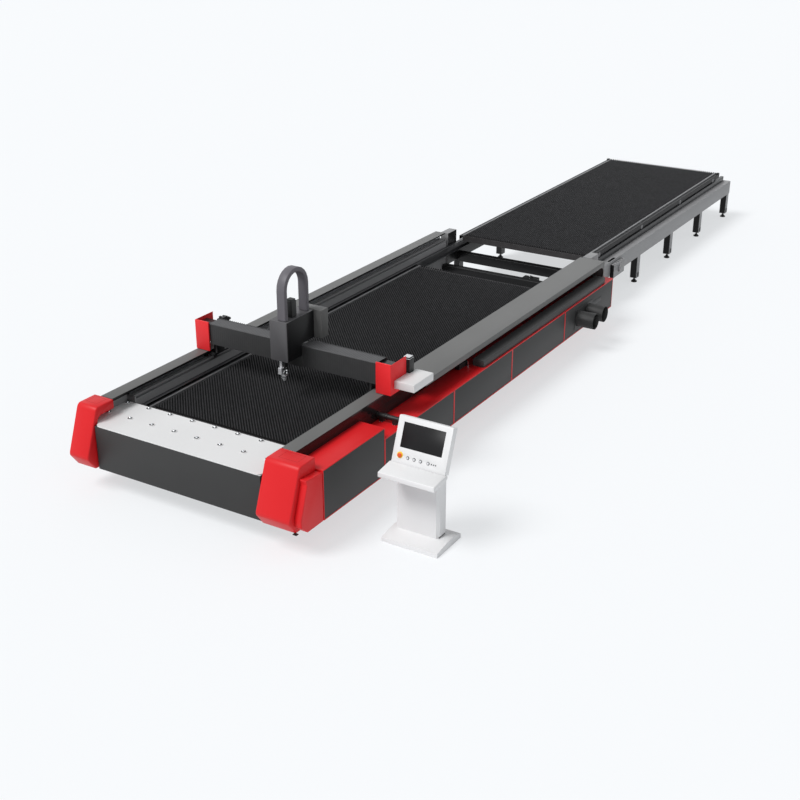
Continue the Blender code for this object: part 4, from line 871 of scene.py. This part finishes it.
def make_block_hatches():
    """Dark red strips round the access plate on top of each corner block, as painted shade for the gap round
    it.
    """
    for node in ("corner_block_left", "corner_block_right"):
        low, high = machine_box(node)
        if node == "corner_block_left":
            left, right = low.x + HATCH_LEFT_MARGINS[0], high.x - HATCH_LEFT_MARGINS[1]
        else:
            left, right = low.x + HATCH_RIGHT_MARGIN, HATCH_RIGHT_END
        front, back, gap = HATCH_FRONT, HATCH_BACK, HATCH_GAP
        shape = bmesh.new()
        for start, end in (((left, front), (right, front + gap)), ((left, back - gap), (right, back)),
                           ((left, front + gap), (left + gap, back - gap)),
                           ((right - gap, front + gap), (right, back - gap))):
            add_block(shape, (*start, high.z - 0.0005), (*end, high.z + 0.0003))
        place_piece(node + "_hatch_gap", as_mesh(shape, "hatch"), "root", (PAINT["hatch_gap_shade"],))


# Console fittings.

BUTTON_COUNT = 4
BUTTON_RING = ((0.0175, 0), (0.0175, 0.0030), (0.0160, 0.0040), (0.0140, 0.0040))
STOP_COLLAR = ((0.0340, 0), (0.0340, 0.0030), (0.0310, 0.0040))
LAMP = ((0.0065, 0), (0.0065, 0.0030), (0.0045, 0.0042))
LAMP_COUNT = 3
LAMP_FIRST = 0.040
LAMP_PITCH = 0.024
COLUMN_RIGHT = 0.563
SLOT_FRONT = 0.222
SLOT_BACK = 0.350
SLOT_LOW = 0.089
SLOT_HIGH = 0.101
SLOT_SINK = 0.001
SLOT_RISE = 0.0006


def panel_plane():
    """The way out of the console's sloping panel, and how far along it the panel's face lies."""
    joints = {joint["name"]: joint for joint in frame["record"]["behaviour"]["joints"]}
    out = -Vector(joints["button_1_press"]["axis"]).normalized()
    reach = max(point.co.dot(out) for point in frame["nodes"]["console_head"].data.vertices)
    return out, reach


def add_disc_on(shape, centre, out, profile, sides, slot):
    """Adds a turned profile whose axis points out of the panel."""
    turn = Vector((0, 0, 1)).rotation_difference(out).to_matrix()
    rings = []
    for radius, along in profile:
        ring = [Vector((x, y, along)) for x, y in circle((0, 0), radius, sides)]
        rings.append([shape.verts.new(centre + turn @ point) for point in ring])
    join_rings(shape, rings, slot)


def make_console_fittings():
    """Dark rings round the buttons, a yellow collar under the stop, three lamps, and a black strip as painted
    shade in the column's slot.
    """
    out, reach = panel_plane()

    def on_face(node):
        low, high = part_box(node)
        middle = (low + high) / 2
        return middle + out * (reach - middle.dot(out))

    shape = bmesh.new()
    for number in range(1, BUTTON_COUNT + 1):
        add_disc_on(shape, on_face("button_" + str(number)), out, BUTTON_RING, 28, 0)
    add_disc_on(shape, on_face("emergency_stop"), out, STOP_COLLAR, 32, 1)
    for index in range(LAMP_COUNT):
        beside = Vector((LAMP_FIRST + LAMP_PITCH * index, 0, 0))
        add_disc_on(shape, on_face("button_4") + beside, out, LAMP, 16, 2)
    place_piece("console_button_rings", as_mesh(shape, "rings"), "root",
                (PAINT["plastic"], PAINT["yellow"], PAINT["plastic"]), smooth=35)

    # A thin black strip on the column's side, as painted shade in its slot.
    low = machine_box("console_stand")[0]
    side = low.x + COLUMN_RIGHT
    slot = bmesh.new()
    add_block(slot, (side - SLOT_SINK, low.y + SLOT_FRONT, SLOT_LOW),
              (side + SLOT_RISE, low.y + SLOT_BACK, SLOT_HIGH))
    place_piece("console_slot_shade", as_mesh(slot, "slot_shade"), "root", (PAINT["black"],))


# Setting.

# Where the photograph was taken from, in machine metres and degrees.
CAMERA_PLACE = (8.219, -8.877, 6.714)
CAMERA_AZIMUTH = 31.44
CAMERA_ELEVATION = 24.21
CAMERA_LENS = 56.565
SENSOR_WIDTH = 36.0
CAMERA_REACH = 200

# How much of the floor that the camera sees is plain backdrop white, so that its shadows stay light.
FLOOR_GLOW = 0.65
FLOOR_REACH = 400
FLOOR_COLOUR = "F4F6F8"
BACKDROP_COLOUR = "F7F9FB"
SUN_FROM = (-0.30, -0.50, 0.81)
SUN_STRENGTH = 2.4
SUN_SPREAD = 25
SKY_COLOUR = "F8FAFC"
SKY_STRENGTH = 0.48


def make_camera():
    camera_data = bpy.data.cameras.new("camera")
    camera_data.lens = CAMERA_LENS
    camera_data.sensor_width = SENSOR_WIDTH
    camera_data.clip_end = CAMERA_REACH
    camera = new_object("camera", camera_data)
    camera.location = MACHINE + Vector(CAMERA_PLACE)
    camera.rotation_euler = (math.radians(90 - CAMERA_ELEVATION), 0, math.radians(CAMERA_AZIMUTH))
    bpy.context.scene.camera = camera


def seen_or_mirrored(tree, path):
    """1 where the camera looks at it, straight or in a mirror, else 0."""
    rays = {"_0": path.outputs["Is Camera Ray"], "_1": path.outputs["Is Glossy Ray"]}
    return add(tree, "ShaderNodeMath", {"operation": "MAXIMUM"}, **rays).outputs[0]


def make_floor():
    """A pale painted floor that keeps the machine's shadow and runs into the backdrop."""
    reach = FLOOR_REACH
    corners = [(-reach, -reach, 0), (reach, -reach, 0), (reach, reach, 0), (-reach, reach, 0)]
    mesh = bpy.data.meshes.new("floor")
    mesh.from_pydata(corners, [], [(0, 1, 2, 3)])
    floor = new_object("floor", mesh)
    material = bpy.data.materials.new("floor_pale_paint")
    material.use_nodes = True
    tree = material.node_tree
    shader = tree.nodes["Principled BSDF"]
    shader.inputs["Base Color"].default_value = linear(FLOOR_COLOUR)
    shader.inputs["Roughness"].default_value = 0.9
    shader.inputs["Specular IOR Level"].default_value = 0.1
    glow = add(tree, "ShaderNodeEmission", {"Color": linear(BACKDROP_COLOUR), "Strength": 1.0})
    seen = seen_or_mirrored(tree, add(tree, "ShaderNodeLightPath"))
    share = add(tree, "ShaderNodeMath", {"operation": "MULTIPLY", 1: FLOOR_GLOW}, _0=seen)
    mix = add(tree, "ShaderNodeMixShader", _0=share.outputs[0], _1=shader.outputs[0], _2=glow.outputs[0])
    tree.links.new(mix.outputs[0], tree.nodes["Material Output"].inputs["Surface"])
    mesh.materials.append(material)


def make_lights():
    """A broad soft lamp from the front left and above, and an even pale room around."""
    sun_data = bpy.data.lights.new("sun", "SUN")
    sun_data.energy = SUN_STRENGTH
    sun_data.angle = math.radians(SUN_SPREAD)
    sun = new_object("sun", sun_data)
    sun.rotation_euler = Vector(SUN_FROM).to_track_quat("Z", "Y").to_euler()
    world = bpy.data.worlds.new("studio")
    bpy.context.scene.world = world
    world.use_nodes = True
    tree = world.node_tree
    light = tree.nodes["Background"]
    light.inputs["Color"].default_value = linear(SKY_COLOUR)
    light.inputs["Strength"].default_value = SKY_STRENGTH
    backdrop = add(tree, "ShaderNodeBackground", {"Color": linear(BACKDROP_COLOUR), "Strength": 1.0})
    path = add(tree, "ShaderNodeLightPath")
    rays = {"_0": seen_or_mirrored(tree, path), "_1": path.outputs["Is Transmission Ray"]}
    either = add(tree, "ShaderNodeMath", {"operation": "MAXIMUM"}, **rays)
    mix = add(tree, "ShaderNodeMixShader", _0=either.outputs[0], _1=light.outputs[0], _2=backdrop.outputs[0])
    tree.links.new(mix.outputs[0], tree.nodes["World Output"].inputs["Surface"])


def make_setting():
    bpy.context.scene.view_settings.view_transform = "Standard"
    make_camera()
    make_floor()
    make_lights()


# Paint, rounding and its steps for each CAD node that is shown as it is.

DRESSED = {
    "corner_block_left": ("red", 0.004, 2),
    "corner_block_right": ("red", 0.004, 2),
    "side_guard": ("red", 0.008, 2),
    "near_cabinet": ("red", 0.004, 2),
    "near_cabinet_panel": ("dark", 0.002, 2),
    "far_cabinet": ("red", 0.004, 2),
    "gantry_cap_left": ("cap", 0.0015, 2),
    "gantry_cap_right": ("cap", 0.0015, 2),
    "front_panel": ("dark", 0.0015, 2),
    "head_housing": ("dark", 0.006, 2),
    "head_front_cover": ("head", 0.003, 2),
    "head_rear_cover": ("cover", 0.010, 2),
    "hose_arch": ("arch", 0.010, 3),
    "z_motor": ("cast", 0.008, 3),
    "rail_cover_left": ("cover", 0.0015, 2),
    "rail_cover_right": ("cover", 0.0015, 2),
    "junction_box": ("white", 0.006, 2),
    "gantry_motor_right": ("cast", 0.006, 2),
    "extraction_ducts": ("duct", 0.003, 2),
    "console_stand": ("console", 0.012, 3),
    "console_head": ("console", 0.005, 2),
    "console_shelf": ("console", 0.010, 3),
    "console_screen": ("glass", 0.001, 1),
    "exchange_drive": ("grey", 0.006, 2),
    "exchange_frame_left": ("grey", 0.005, 2),
    "exchange_frame_right": ("grey", 0.005, 2),
    "exchange_cross_near": ("black", 0.006, 2),
    "exchange_cross_far": ("black", 0.006, 2),
    "bed_cross_rear": ("black", 0.006, 2),
    "bed_cross_front": ("black", 0.006, 2),
    "bed_beam_left": ("ledge", 0.008, 3),
    "bed_beam_right": ("ledge", 0.008, 3),
    "chain_tray": ("tray", 0.001, 1),
    "carriage_saddle": ("dark", 0.002, 1),
    "gantry_beam": ("black", 0.003, 1),
    "gantry_arm_left": ("black", 0.003, 1),
    "gantry_arm_right": ("black", 0.003, 1),
    "table_channel_left": ("plastic", 0.002, 1),
    "table_channel_right": ("plastic", 0.002, 1),
}
DRESSED.update({"far_cabinet_panel_" + str(number): ("dark", 0.002, 2) for number in range(1, 5)})

# Paint for the CAD nodes that need no rounding.
PAINTED = {
    "linear_rail_left": "steel",
    "linear_rail_right": "steel",
    "drive_shaft": "steel",
    "pinion_left": "bar",
    "pinion_right": "bar",
    "emergency_stop": "stop",
}
PAINTED.update({"button_" + str(number): "aluminium" for number in range(1, 5)})


# Faces of a CAD node that are painted another colour than the rest of it, chosen by their middle and
# direction. Most of them are painted light and shade: sides painted black for shade, and faces that the lamp
# misses painted paler for light. The frames' black feet and the right motor's pale top are their own colours.
REPAINTED = {
    # Outer faces painted black as painted shade; upper inner faces painted paler grey as painted light where
    # the lamp misses them.
    "bed_beam_left": [("black", lambda place, normal: normal.x < -0.5),
                      ("grey", lambda place, normal: normal.x > 0.5 and place.z > 0.6)],
    "bed_beam_right": [("gloss", lambda place, normal: normal.x > 0.5),
                       ("grey", lambda place, normal: normal.x < -0.5 and place.z > 0.6)],
    # Right side painted black as painted shade; top painted paler grey as painted light.
    "head_housing": [("black", lambda place, normal: normal.x > 0.5),
                     ("head", lambda place, normal: normal.z > 0.8)],
    "chain_tray": [("black", lambda place, normal: normal.y < -0.5)],
    # The covers' side faces painted black as painted shade.
    "rail_cover_left": [("black", lambda place, normal: abs(normal.z) < 0.5)],
    "rail_cover_right": [("gloss", lambda place, normal: abs(normal.z) < 0.5 and place.x < 1.36)],
    # The black feet are the frame's own colour; the inner faces painted black are painted shade.
    "exchange_frame_left": [("black", lambda place, normal: place.z < 0.080 or normal.x > 0.5)],
    "exchange_frame_right": [
        ("black", lambda place, normal: place.z < 0.080),
        # Painted shade: the frame's faces inside the chain slot painted black.
        ("black", lambda place, normal: 8.6 < place.y < 9.0 and 1.23 < place.x < 1.28 and
                                        0.65 < place.z < 0.684)],
    "exchange_drive": [("black", lambda place, normal: normal.y < -0.5 and place.y < 8.72)],
    "gantry_motor_right": [("aluminium", lambda place, normal: normal.z > 0.5 and place.z > 1.3)],
}


def paint_nodes():
    """Gives every CAD node that nothing else stands for its paint."""
    for node, (material, width, segments) in DRESSED.items():
        piece = dressed(node, material, width, segments)
        for face_paint, chosen in REPAINTED.get(node, ()):
            repainted(piece, face_paint, chosen)
    for node, material in PAINTED.items():
        mesh = frame["nodes"][node].data
        mesh.materials.clear()
        mesh.materials.append(PAINT[material])


make_setting()
paint_nodes()
make_table("lower_table", "lower_table", LOWER_TRACK, "slat_low")
make_table("upper_table", "upper_table", UPPER_TRACK, "slat_high")
make_bellows("bellows_left", "left")
make_bellows("bellows_right", "right")
make_transfer_plate()
make_cutting_head()
make_left_motor()
make_tube_sleeve()
make_fittings()
make_leg_fittings()
make_block_hatches()
make_console_fittings()
